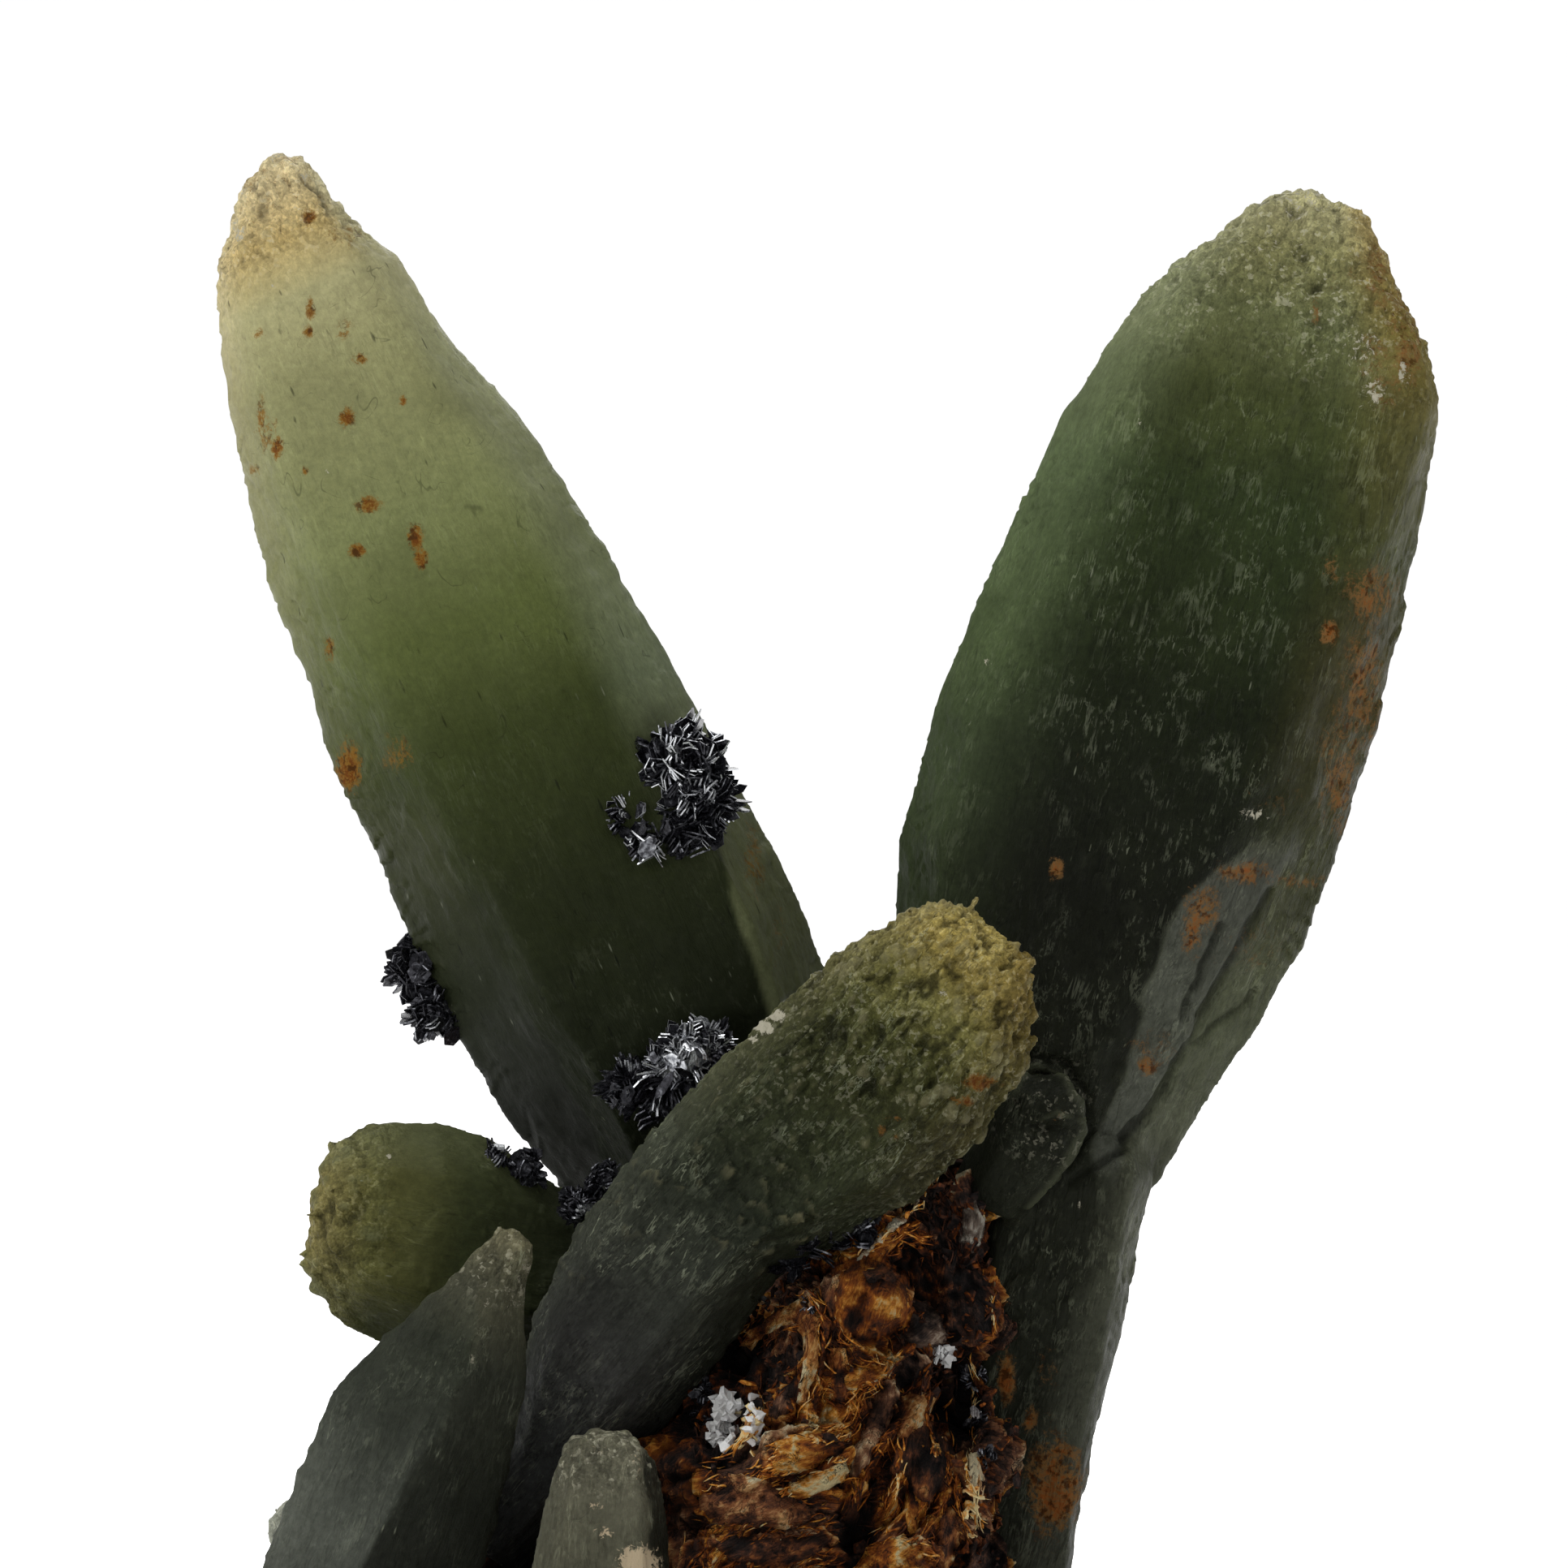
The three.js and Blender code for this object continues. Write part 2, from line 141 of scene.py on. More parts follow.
def ridged(places, seed, octaves=4):
    """Noise with sharp crests, from 0 in the valleys to about 1 on the crests."""
    total, size, weight = np.zeros(len(places)), 1.0, 0.55
    for octave in range(octaves):
        total += weight * (1 - np.abs(noise(places * size, seed + octave)))
        size *= 2.1
        weight *= 0.5
    return total


def cells(places, seed):
    """The nearest scattered centre: its distance, the offset from it, and a random number for it."""
    base = np.floor(places)
    nearest = np.full(len(places), 9.0)
    offset = np.zeros_like(places)
    number = np.zeros(len(places))
    for corner in np.ndindex(3, 3, 3):
        cell = base + np.array(corner) - 1
        centre = cell + np.stack([hashed(cell, seed + axis) for axis in range(3)], axis=1)
        away = places - centre
        distance = np.linalg.norm(away, axis=1)
        closer = distance < nearest
        nearest[closer] = distance[closer]
        offset[closer] = away[closer]
        number[closer] = hashed(cell, seed + 7)[closer]
    return nearest, offset, number


# Meshes


MASK_LEVELS = 20  # steps of weight in a vertex group
WELD = 2e-6  # metres: corners closer than this are merged


def deselect_all():
    for obj in bpy.context.selected_objects:
        obj.select_set(False)


def activate(obj):
    deselect_all()
    obj.select_set(True)
    bpy.context.view_layer.objects.active = obj


def apply_modifier(obj, kind, **settings):
    activate(obj)
    modifier = obj.modifiers.new(kind.title(), kind)
    for name, value in settings.items():
        setattr(modifier, name, value)
    bpy.ops.object.modifier_apply(modifier=modifier.name)


def new_object(name, data):
    obj = bpy.data.objects.new(name, data)
    bpy.context.scene.collection.objects.link(obj)
    return obj


def copy_of_node(node, name):
    """A merged copy of a CAD node as an object of its own."""
    copy = new_object(name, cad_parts[node].data.copy())
    copy.data.name = name
    copy.data.materials.clear()
    activate(copy)
    bpy.ops.object.mode_set(mode="EDIT")
    bpy.ops.mesh.select_all(action="SELECT")
    bpy.ops.mesh.remove_doubles(threshold=WELD)
    bpy.ops.object.mode_set(mode="OBJECT")
    return copy


def remeshed(obj, voxel_mm):
    apply_modifier(obj, "REMESH", mode="VOXEL", voxel_size=voxel_mm * MM, use_smooth_shade=True)


def apply_masked(obj, kind, mask, **settings):
    """Applies a modifier with a weight from 0 to 1 for each vertex."""
    group = obj.vertex_groups.new(name="mask")
    levels = np.round(mask * MASK_LEVELS).astype(int)
    for level in range(1, MASK_LEVELS + 1):
        members = np.nonzero(levels == level)[0].tolist()
        if members:
            group.add(members, level / MASK_LEVELS, "REPLACE")
    apply_modifier(obj, kind, vertex_group=group.name, **settings)
    obj.vertex_groups.clear()


def read_vectors(items, name):
    """The named vector of each vertex or face, one to a row."""
    values = np.empty(len(items) * 3, np.float32)
    items.foreach_get(name, values)
    return values.reshape(-1, 3).astype(float)


def places_mm(obj):
    return read_vectors(obj.data.vertices, "co") / MM


def normals_of(obj):
    return read_vectors(obj.data.vertices, "normal")


def put_places(obj, places):
    obj.data.vertices.foreach_set("co", (places * MM).astype(np.float32).ravel())
    obj.data.update()


def put_attribute(obj, name, values, domain="POINT"):
    attribute = obj.data.attributes.new(name, "FLOAT", domain)
    attribute.data.foreach_set("value", np.asarray(values, np.float32))


def put_attributes(obj, **attributes):
    for name, values in attributes.items():
        put_attribute(obj, name, values)


def put_vector(obj, name, values):
    attribute = obj.data.attributes.new(name, "FLOAT_VECTOR", "POINT")
    attribute.data.foreach_set("vector", np.asarray(values, np.float32).ravel())


def mesh_object(name, vertices_mm, faces, smooth=False):
    mesh = bpy.data.meshes.new(name)
    mesh.from_pydata((np.asarray(vertices_mm) * MM).tolist(), [], faces)
    mesh.validate()
    if smooth:
        mesh.polygons.foreach_set("use_smooth", [True] * len(mesh.polygons))
    return new_object(name, mesh)


def finish_piece(obj, material, nodes=()):
    obj.data.materials.append(material)
    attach(obj, "root")
    if nodes:
        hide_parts(*nodes)


# Shader groups and materials


VECTOR, FLOAT, COLOUR = "NodeSocketVector", "NodeSocketFloat", "NodeSocketColor"
WHITE = (1, 1, 1, 1)
PLAIN_GREEN = (0.2, 0.2, 0.1, 1)  # the quartz of a group that no colour feeds
# Pale specks, and the painted highlight on crests and scale edges
PALE_SPECK_AND_HIGHLIGHT = (0.27, 0.29, 0.2, 1)
# Painted glint on the sugary grains
GRAIN_GLINT = (0.5, 0.48, 0.36, 1)
GREY_FACE = seen(71, 73, 66)
# Painted shade in the hollows of a crystal's relief
HOLLOW_SHADE = (0.008, 0.009, 0.005, 1)
# Painted shade in the hollows and cracks of the oxide
CREVICE_SHADE = (0.003, 0.002, 0.002, 1)


class Signal:
    """What one shader node sends to others. Sums, differences and products of signals are nodes too."""

    def __init__(self, nodes, socket):
        self.nodes, self.socket = nodes, socket

    def __add__(self, other):
        return self.nodes.math("ADD", self, other)

    def __sub__(self, other):
        return self.nodes.math("SUBTRACT", self, other)

    def __mul__(self, other):
        return self.nodes.math("MULTIPLY", self, other)

    def __abs__(self):
        return self.nodes.math("ABSOLUTE", self)

    def highest(self, other):
        return self.nodes.math("MAXIMUM", self, other)


class Nodes:
    """Adds nodes to a tree and links them in one line each."""

    def __init__(self, tree):
        self.tree = tree
        self.count = 0

    def feed(self, sockets, inputs):
        """Gives each named socket a signal or a fixed value."""
        for name, value in inputs.items():
            if isinstance(value, Signal):
                self.tree.links.new(value.socket, sockets[name])
            else:
                sockets[name].default_value = value

    def add(self, kind, inputs=None, family="ShaderNode", **settings):
        node = self.tree.nodes.new(family + kind)
        node.location = (220 * (self.count % 9), -260 * (self.count // 9))
        self.count += 1
        for name, value in settings.items():
            setattr(node, name, value)
        self.feed(node.inputs, inputs or {})
        return node

    def out(self, kind, inputs=None, output=0, **settings):
        """What a new node sends."""
        return Signal(self, self.add(kind, inputs, **settings).outputs[output])

    def group(self, tree, inputs):
        """What a new node of a group sends, by name."""
        node = self.add("Group", inputs, node_tree=tree)
        return {socket.name: Signal(self, socket) for socket in node.outputs}

    def math(self, operation, a, b=0.0, clamp=False):
        return self.out("Math", {0: a, 1: b}, operation=operation, use_clamp=clamp)

    def vector_sum(self, a, b):
        return self.out("VectorMath", {0: a, 1: b}, operation="ADD")

    def span(self, value, low, high, to_low=0.0, to_high=1.0):
        """The value from low to high, eased, as one from to_low to to_high."""
        inputs = {"Value": value, "From Min": low, "From Max": high, "To Min": to_low, "To Max": to_high}
        return self.out("MapRange", inputs, "Result", interpolation_type="SMOOTHSTEP")

    def mix(self, share, a, b, blend="MIX"):
        inputs = {0: share, 6: a, 7: b}
        return self.out("Mix", inputs, 2, data_type="RGBA", blend_type=blend, clamp_factor=True)

    def ramp(self, value, stops):
        node = self.add("ValToRGB", {"Fac": value})
        band = node.color_ramp
        while len(band.elements) < len(stops):
            band.elements.new(0.5)
        for element, (place, colour) in zip(band.elements, stops):
            element.position = place
            element.color = colour
        return Signal(self, node.outputs["Color"])

    def attribute(self, name, output="Fac"):
        return self.out("Attribute", None, output, attribute_name=name)

    def terrace(self, value, level, width):
        """A step where a value passes a level: its height, the line on its crest and the one at its foot,
        where a painted highlight and a painted shadow go.
        """
        height = self.span(value, level - width, level + width)
        from_crest = abs(value - (level + 0.8 * width))
        from_foot = abs(value - (level - 1.4 * width))
        foot = self.span(from_foot, 1.3 * width, 0.2 * width)
        return height, self.span(from_crest, width, 0.2 * width), foot

    def place(self, scale=(1.0, 1.0, 1.0), turn=(0.0, 0.0, 0.0)):
        """Object coordinates in millimetres, turned and scaled."""
        coordinates = self.out("TexCoord", output="Object")
        turned = self.out("Mapping", {"Vector": coordinates, "Rotation": turn}, vector_type="TEXTURE")
        return self.out("Mapping", {"Vector": turned, "Scale": tuple(s / MM for s in scale)})

    def noise(self, vector, scale, detail=3.0, rough=0.55, distortion=0.0, output="Fac"):
        inputs = {
            "Vector": vector, "Scale": scale, "Detail": detail, "Roughness": rough, "Distortion": distortion,
        }
        return self.out("TexNoise", inputs, output)

    def cells(self, vector, scale):
        """Scattered cells: the distance from the nearest centre, and a random colour for each cell."""
        node = self.add("TexVoronoi", {"Vector": vector, "Scale": scale})
        return Signal(self, node.outputs["Distance"]), Signal(self, node.outputs["Color"])

    def red(self, colour):
        return self.out("SeparateColor", {0: colour})

    def bump(self, height, strength, distance):
        return self.out("Bump", {"Height": height, "Strength": strength, "Distance": distance})


def shader_group(name, inputs, outputs):
    """An empty node group with named sockets: its nodes, what its inputs send, and what feeds its outputs."""
    tree = bpy.data.node_groups.new(name, "ShaderNodeTree")
    for socket, kind, default in inputs:
        made = tree.interface.new_socket(socket, in_out="INPUT", socket_type=kind)
        if default is not None:
            made.default_value = default
    for socket, kind in outputs:
        tree.interface.new_socket(socket, in_out="OUTPUT", socket_type=kind)
    nodes = Nodes(tree)
    taken = nodes.add("GroupInput", family="Node")
    given = nodes.add("GroupOutput", family="Node")
    signals = {socket.name: Signal(nodes, socket) for socket in taken.outputs}
    return nodes, signals, partial(nodes.feed, given.inputs)


def scales_group():
    """Small growth scales: plateaus of uneven height, with painted light along the ledge that faces the
    crystal's tip and painted shade along the one that faces away.
    """
    nodes, taken, give = shader_group(
        "Growth Scales", [("Vector", VECTOR, None), ("Size", FLOAT, 1.0)],
        [("Height", FLOAT), ("Ledge Shading", FLOAT)]
    )
    ragged = nodes.noise(taken["Vector"], 1.3, 3.0, 0.5, output="Color")
    ragged = nodes.out("VectorMath", {0: ragged, 1: (0.5, 0.5, 0.5)}, operation="SUBTRACT")
    ragged = nodes.out("VectorMath", {0: ragged, "Scale": 1.1}, operation="SCALE")
    bent = nodes.vector_sum(taken["Vector"], ragged)
    above = nodes.vector_sum(bent, (0.0, 0.0, 0.1))
    here, there = (nodes.red(nodes.cells(place, taken["Size"])[1]) for place in (bent, above))
    give({"Height": here, "Ledge Shading": here - there})
    return nodes.tree


def grain_group(scales):
    """The surface of a crystal: cloudy tone, growth scales, terraces, grains and dashes, with painted light
    and shade on the scale edges and terraces and painted glints on the grains.
    """
    nodes, taken, give = shader_group(
        "Quartz Grain",
        [("Vector", VECTOR, None), ("Along Vector", VECTOR, None), ("Colour", COLOUR, PLAIN_GREEN),
         ("Sugar", FLOAT, 0.0), ("Streaks", FLOAT, 0.3), ("Contrast", FLOAT, 0.3), ("Chips", FLOAT, 0.3),
         ("Dashes", FLOAT, 0.3), ("Sparkle", FLOAT, 0.5)],
        [("Colour", COLOUR), ("Height", FLOAT), ("Glint", FLOAT)],
    )
    vector, along, sugar = taken["Vector"], taken["Along Vector"], taken["Sugar"]
    streaks, chips, dashes = taken["Streaks"], taken["Chips"], taken["Dashes"]
    # The cloudy tone, and where growth forms crowd
    cloud = nodes.noise(vector, 0.16, 4.0, 0.6)
    fine = nodes.noise(vector, 1.8, 6.0, 0.75)
    tone = nodes.span(cloud * 0.4 + fine * 0.6, 0.3, 0.7, -1.0, 1.0) * taken["Contrast"]
    where = nodes.span(cloud, 0.42, 0.6, 0.06, 1.0)
    # Growth scales of two sizes, their edges painted light on the side that faces the tip and painted shade
    # on the other
    broad, small = (nodes.group(scales, {"Vector": along, "Size": size}) for size in (0.7, 1.7))
    ledge_light_and_shade = (broad["Ledge Shading"] + small["Ledge Shading"] * 0.75) * where * chips
    heights = broad["Height"] + small["Height"] * 0.75
    tone = tone + ledge_light_and_shade * 1.2
    # Terraces of two sizes, each with a painted highlight on its crest and a painted shadow at its foot
    crests, steps = [], []
    for size, level in ((0.5, 0.5), (1.3, 0.48)):
        height, crest, foot = nodes.terrace(nodes.noise(along, size, 5.0, 0.62, 0.4), level, 0.035)
        broken = nodes.span(nodes.noise(vector, 0.75 * size, 3.0), 0.48, 0.6)
        crests.append(crest * broken)
        steps.append(height)
        tone = tone - foot * broken * streaks * 0.6
    crests = crests[0].highest(crests[1]) * where * streaks
    tone = tone + crests * 0.7
    # Sugary grains of two sizes
    (_, coarse), (reach, sandy) = nodes.cells(vector, 1.9), nodes.cells(vector, 4.4)
    grains = (nodes.red(coarse) - 0.5) * 0.8 + (nodes.red(sandy) - 0.5) * 0.6
    tone = tone + grains * (sugar + 0.06)
    # Dark dashes and hair cracks
    dash = nodes.span(nodes.cells(along, 0.55)[0], 0.11, 0.05)
    dash = dash * nodes.span(nodes.noise(vector, 0.33), 0.42, 0.52) * dashes
    hair = nodes.span(abs(nodes.noise(vector, 0.17, 2.0, 0.5, 1.2) - 0.5), 0.006, 0.001)
    hair = hair * nodes.span(nodes.noise(vector, 0.4, 3.0), 0.5, 0.62) * dashes
    tone = tone - (dash * 1.3 + hair * 0.7)
    factor = nodes.math("POWER", 2.0, tone)
    bright = nodes.out("CombineColor", {"Red": factor, "Green": factor, "Blue": factor})
    toned = nodes.mix(1.0, taken["Colour"], bright, "MULTIPLY")
    # Pale specks, painted highlights on the crests and scale edges, and painted glints on the grains
    speck = nodes.span(nodes.cells(along, 0.9)[0], 0.13, 0.05)
    speck = speck * nodes.span(nodes.noise(vector, 0.3), 0.53, 0.62)
    sparkle = nodes.span(grains, 0.3, 0.55) * sugar * taken["Sparkle"]
    toned = nodes.mix(speck * 0.55, toned, PALE_SPECK_AND_HIGHLIGHT)
    toned = nodes.mix(crests * 0.3, toned, PALE_SPECK_AND_HIGHLIGHT)
    toned = nodes.mix(sparkle, toned, GRAIN_GLINT)
    toned = nodes.mix(nodes.span(ledge_light_and_shade, 0.3, 0.8, 0.0, 0.6), toned, PALE_SPECK_AND_HIGHLIGHT)
    height = fine * 0.4 + (steps[0] + steps[1] * 0.6) * streaks * 0.8
    height = height + heights * chips * where
    height = height + (grains - reach) * (sugar + 0.08)
    give({"Colour": toned, "Height": height, "Glint": speck.highest(sparkle)})
    return nodes.tree


def stain_group():
    """Iron stains: rust with a darker core that breaks up a mask."""
    nodes, taken, give = shader_group(
        "Iron Stain",
        [("Vector", VECTOR, None), ("Colour", COLOUR, PLAIN_GREEN), ("Rust", COLOUR, (0.3, 0.1, 0.02, 1)),
         ("Core", COLOUR, (0.2, 0.06, 0.01, 1)), ("Mask", FLOAT, 0.0)],
        [("Colour", COLOUR), ("Stain", FLOAT)],
    )
    vector, mask = taken["Vector"], taken["Mask"]
    level = mask
    for size, distortion in ((2.2, 1.2), (0.6, 0.9)):
        level = level + (nodes.noise(vector, size, 5.0, 0.72, distortion) - 0.5) * 1.9
    stain = nodes.span(level, 0.5, 0.95) * nodes.span(mask, 0.2, 1.0, 0.45, 0.95)
    rust = nodes.mix(nodes.span(level, 0.9, 1.25), taken["Rust"], taken["Core"])
    rust = nodes.mix(nodes.span(nodes.noise(vector, 1.6, 5.0), 0.5, 0.62), rust, seen(66, 36, 8))
    give({"Colour": nodes.mix(stain, taken["Colour"], rust), "Stain": stain})
    return nodes.tree


def new_material(name):
    """A material, its nodes, and what feeds its shader."""
    material = bpy.data.materials.new(name)
    material.use_nodes = True
    nodes = Nodes(material.node_tree)
    nodes.count = 12
    return material, nodes, partial(nodes.feed, material.node_tree.nodes["Principled BSDF"].inputs)


def prase_material(crystal, groups, stretch, settings):
    """Cloudy green quartz, coloured from the tip to the root, with other colours down its two sides; these
    colours carry painted light and shade, and the relief adds painted shade in hollows and painted highlights
    on crests.
    """
    material, nodes, shade = new_material(f"prase {crystal.name}")
    along, left, relief = (nodes.attribute(name) for name in ("along", "left", "relief"))
    # Colours along the crystal and down its sides: partly the quartz's own, partly painted light and shade
    colour, left_colour, right_colour = (
        nodes.ramp(along, [(t * stretch, seen(*rgb)) for t, *rgb in stops])
        for stops in (crystal.body, crystal.left, crystal.right)
    )
    colour = nodes.mix(left, colour, left_colour)
    colour = nodes.mix(nodes.attribute("right"), colour, right_colour)
    colour = nodes.mix(nodes.attribute("grey") * 0.75, colour, GREY_FACE)
    vector = nodes.place()
    turn = Vector((0, 0, 1)).rotation_difference(Vector(crystal.tip) - Vector(crystal.root)).to_euler()
    grain = nodes.group(groups["grain"], {
        "Vector": vector,
        "Along Vector": nodes.place((1.6, 1.6, 0.26), tuple(turn)),
        "Colour": colour,
        "Sugar": nodes.attribute("sugar"),
        "Streaks": nodes.span(left, 0.0, 1.0, crystal.streaks, 0.35 * crystal.streaks),
        "Contrast": crystal.contrast,
        "Chips": crystal.chips,
        "Dashes": crystal.dashes,
        "Sparkle": crystal.sparkle,
    })
    # Painted shade in the hollows of the relief and a painted highlight on its crests
    shaded = nodes.mix(nodes.span(relief, -0.35, 0.0, 0.6, 0.0), grain["Colour"], HOLLOW_SHADE)
    lit = nodes.mix(nodes.span(relief, 0.1, 0.5, 0.0, crystal.crest_highlight_share), shaded, crystal.crest_highlight)
    stain = nodes.group(groups["stain"], {
        "Vector": vector,
        "Colour": lit,
        "Rust": crystal.rust,
        "Core": crystal.rust_core,
        "Mask": nodes.attribute("stain"),
    })
    pale = nodes.attribute("pale") + (nodes.noise(vector, 2.0, 5.0, 0.7, 0.8) - 0.5) * 2.4
    dull = nodes.span(nodes.noise(vector, 0.5), 0.3, 0.7, crystal.roughness - 0.08, crystal.roughness + 0.12)
    dull = dull - grain["Glint"] * 0.2
    shade({
        "Base Color": nodes.mix(nodes.span(pale, 0.6, 0.85), stain["Colour"], crystal.pale_colour),
        "Roughness": nodes.math("ADD", dull, stain["Stain"] * 0.35, clamp=True),
        "Normal": nodes.bump(grain["Height"], 0.6, 0.00022),
        "Specular IOR Level": settings.gloss,
        "Subsurface Weight": settings.cloud,
        "Subsurface Radius": (0.9, 1.0, 0.6),
        "Subsurface Scale": settings.cloud_depth,
    })
    return material


# The crystals

FORM_VOXEL = 0.9  # mm, of the rounded forms


@dataclass
class Crystal:
    """One prase crystal: where it lies, how its surface grew, and its colours from tip to root, with painted
    light and shade in them.
    """

    node: str
    tip: tuple
    root: tuple
    voxel: float
    sugar_reach: float  # how far the grainy end reaches down from the tip
    knobs: tuple  # (grain size, height) of each order of grains on the end
    scales: tuple  # (width, length, height) of the growth scales on the sides
    body: list  # (stretch from the tip, 0, to the root, 1, red, green, blue) of its colours: partly its own, partly painted light, paler towards the tip, and painted shade, darker low down
    left: list  # the same down its left and right sides: partly their own colour, partly painted light and shade of faces turned to or from the light
    right: list
    # Where each side's colours, with their painted light on the edges, start and are full, from the axis, 0,
    # to the edge, 1
    left_rim: tuple = (0.5, 0.95)
    right_rim: tuple = (0.5, 0.95)
    rim_share: tuple = (0.0, 0.0)  # how strongly each side's colours show there
    rim_fade: tuple = (2.0, 3.0)  # the stretch, from the tip, over which these give way to the panels
    panels: tuple = ()  # (pixels down a ridge, +1 for its right side or -1 for its left), past which a face takes that side's colours and painted light
    # The painted highlight on the crests of the relief, and how strongly it shows
    crest_highlight: tuple = (0.2, 0.22, 0.12, 1)
    crest_highlight_share: float = 0.35
    fade: tuple = (1.2, 2.0)  # the stretch, from the tip, over which the growth scales fade out
    steps: tuple = (0.12, 0.12)  # height of the teeth down the left and right edges
    streaks: float = 0.3
    contrast: float = 0.35
    chips: float = 0.5
    dashes: float = 0.5
    roughness: float = 0.42
    stains: tuple = ()  # (pixel u, pixel v, reach across, reach down, strength)
    pales: tuple = ()
    pale_colour: tuple = (0.5, 0.47, 0.36, 1)
    rust: tuple = seen(132, 92, 46)
    rust_core: tuple = seen(120, 64, 18)
    tip_rise: float = 0.0  # mm by which the outermost tip stands out
    # How strongly the grainy end carries painted glints
    sparkle: float = 0.5
    knob_spots: tuple = ()  # (place, reach) of further grainy ends
    tip_stain: float = 0.0
    grooves: tuple = ()  # (pixels along it, half width in pixels, depth in mm, below 0 for a crest)
    grey_face: tuple = ()  # pixels down the ridge on the right of a greyer face
    smoothing: tuple = (8, 8, 0.6)  # fine rounds, broad rounds of the upper part, its share of the length
    rounded_from: float = 0.3  # where, in reaches of the grainy end, the rounded ridges start
    seed: int = 1

    @property
    def name(self):
        return self.node + "_surface"


LEFT = Crystal(
    node="left_crystal", tip=(-42.2, 9, 128.4), root=(-5.3, 11, 43.1), voxel=0.3, sugar_reach=8,
    knobs=((2.0, 0.3), (0.9, 0.35), (0.65, 0.25)), scales=(1.7, 3.2, 0.12),
    body=[
        (0.0, 188, 174, 136), (0.05, 176, 155, 102), (0.1, 150, 146, 107), (0.16, 128, 127, 89),
        (0.3, 107, 112, 72), (0.4, 80, 88, 47), (0.5, 51, 58, 27), (0.62, 35, 40, 19), (0.8, 24, 28, 15),
        (1.0, 20, 23, 14),
    ],
    left=[
        (0.0, 200, 190, 158), (0.12, 168, 158, 120), (0.25, 136, 133, 98), (0.4, 92, 94, 62),
        (0.55, 51, 55, 32), (0.68, 34, 38, 24), (0.8, 30, 32, 26), (1.0, 34, 35, 30),
    ],
    right=[
        (0.0, 196, 186, 150), (0.08, 160, 156, 118), (0.2, 134, 136, 103), (0.35, 112, 117, 84),
        (0.5, 102, 110, 84), (0.6, 98, 102, 74), (0.7, 84, 88, 60), (1.0, 84, 88, 64),
    ],
    left_rim=(0.72, 1.0), right_rim=(0.45, 0.9), rim_share=(0.5, 0.9), rim_fade=(0.58, 0.7),
    panels=(
        (((540, 1010), (558, 1059), (614, 1182), (683, 1300), (721, 1393), (760, 1480)), -1),
        (((866, 940), (893, 1030), (899, 1080), (912, 1140), (934, 1205), (958, 1270)), 1),
    ),
    crest_highlight=(0.34, 0.33, 0.2, 1), steps=(0.32, 0.12), streaks=0.2, contrast=0.3, chips=0.24,
    dashes=1.0, roughness=0.42,
    stains=(
        (378, 265, 12, 16, 1.0), (380, 378, 8, 20, 1.0), (378, 407, 9, 11, 1.2), (420, 410, 10, 14, 0.9),
        (424, 400, 14, 16, 0.7), (440, 440, 16, 12, 1.0), (495, 492, 6, 9, 1.1), (425, 515, 14, 18, 1.05),
        (340, 550, 11, 22, 1.1), (330, 530, 22, 40, 0.7), (320, 510, 9, 30, 0.85), (375, 578, 7, 8, 1.1),
        (452, 622, 20, 16, 0.95), (440, 678, 15, 12, 1.1), (316, 410, 12, 8, 0.9), (510, 660, 14, 20, 1.2),
        (518, 688, 11, 17, 1.25), (405, 798, 11, 22, 0.85), (428, 945, 20, 38, 1.1),
        (345, 262, 60, 40, 0.42), (485, 930, 36, 34, 0.6), (300, 240, 30, 24, 0.6), (420, 285, 44, 24, 0.6),
        (930, 1060, 18, 70, 0.62), (415, 860, 12, 20, 0.5), (960, 1150, 14, 50, 0.5),
        (310, 575, 12, 12, 0.7),
    ),
    pales=(
        (558, 415, 9, 6, 1.0), (402, 580, 5, 4, 1.0), (290, 285, 9, 20, 0.7), (300, 245, 14, 12, 0.6),
        (284, 350, 8, 26, 0.4), (344, 205, 20, 12, 0.75), (372, 226, 14, 8, 0.6), (335, 350, 8, 5, 0.7),
        (420, 262, 40, 8, 0.4),
    ),
    rust=seen(118, 84, 30), rust_core=seen(94, 50, 10), tip_rise=1.3, tip_stain=0.5,
    smoothing=(5, 26, 0.66), seed=11,
)
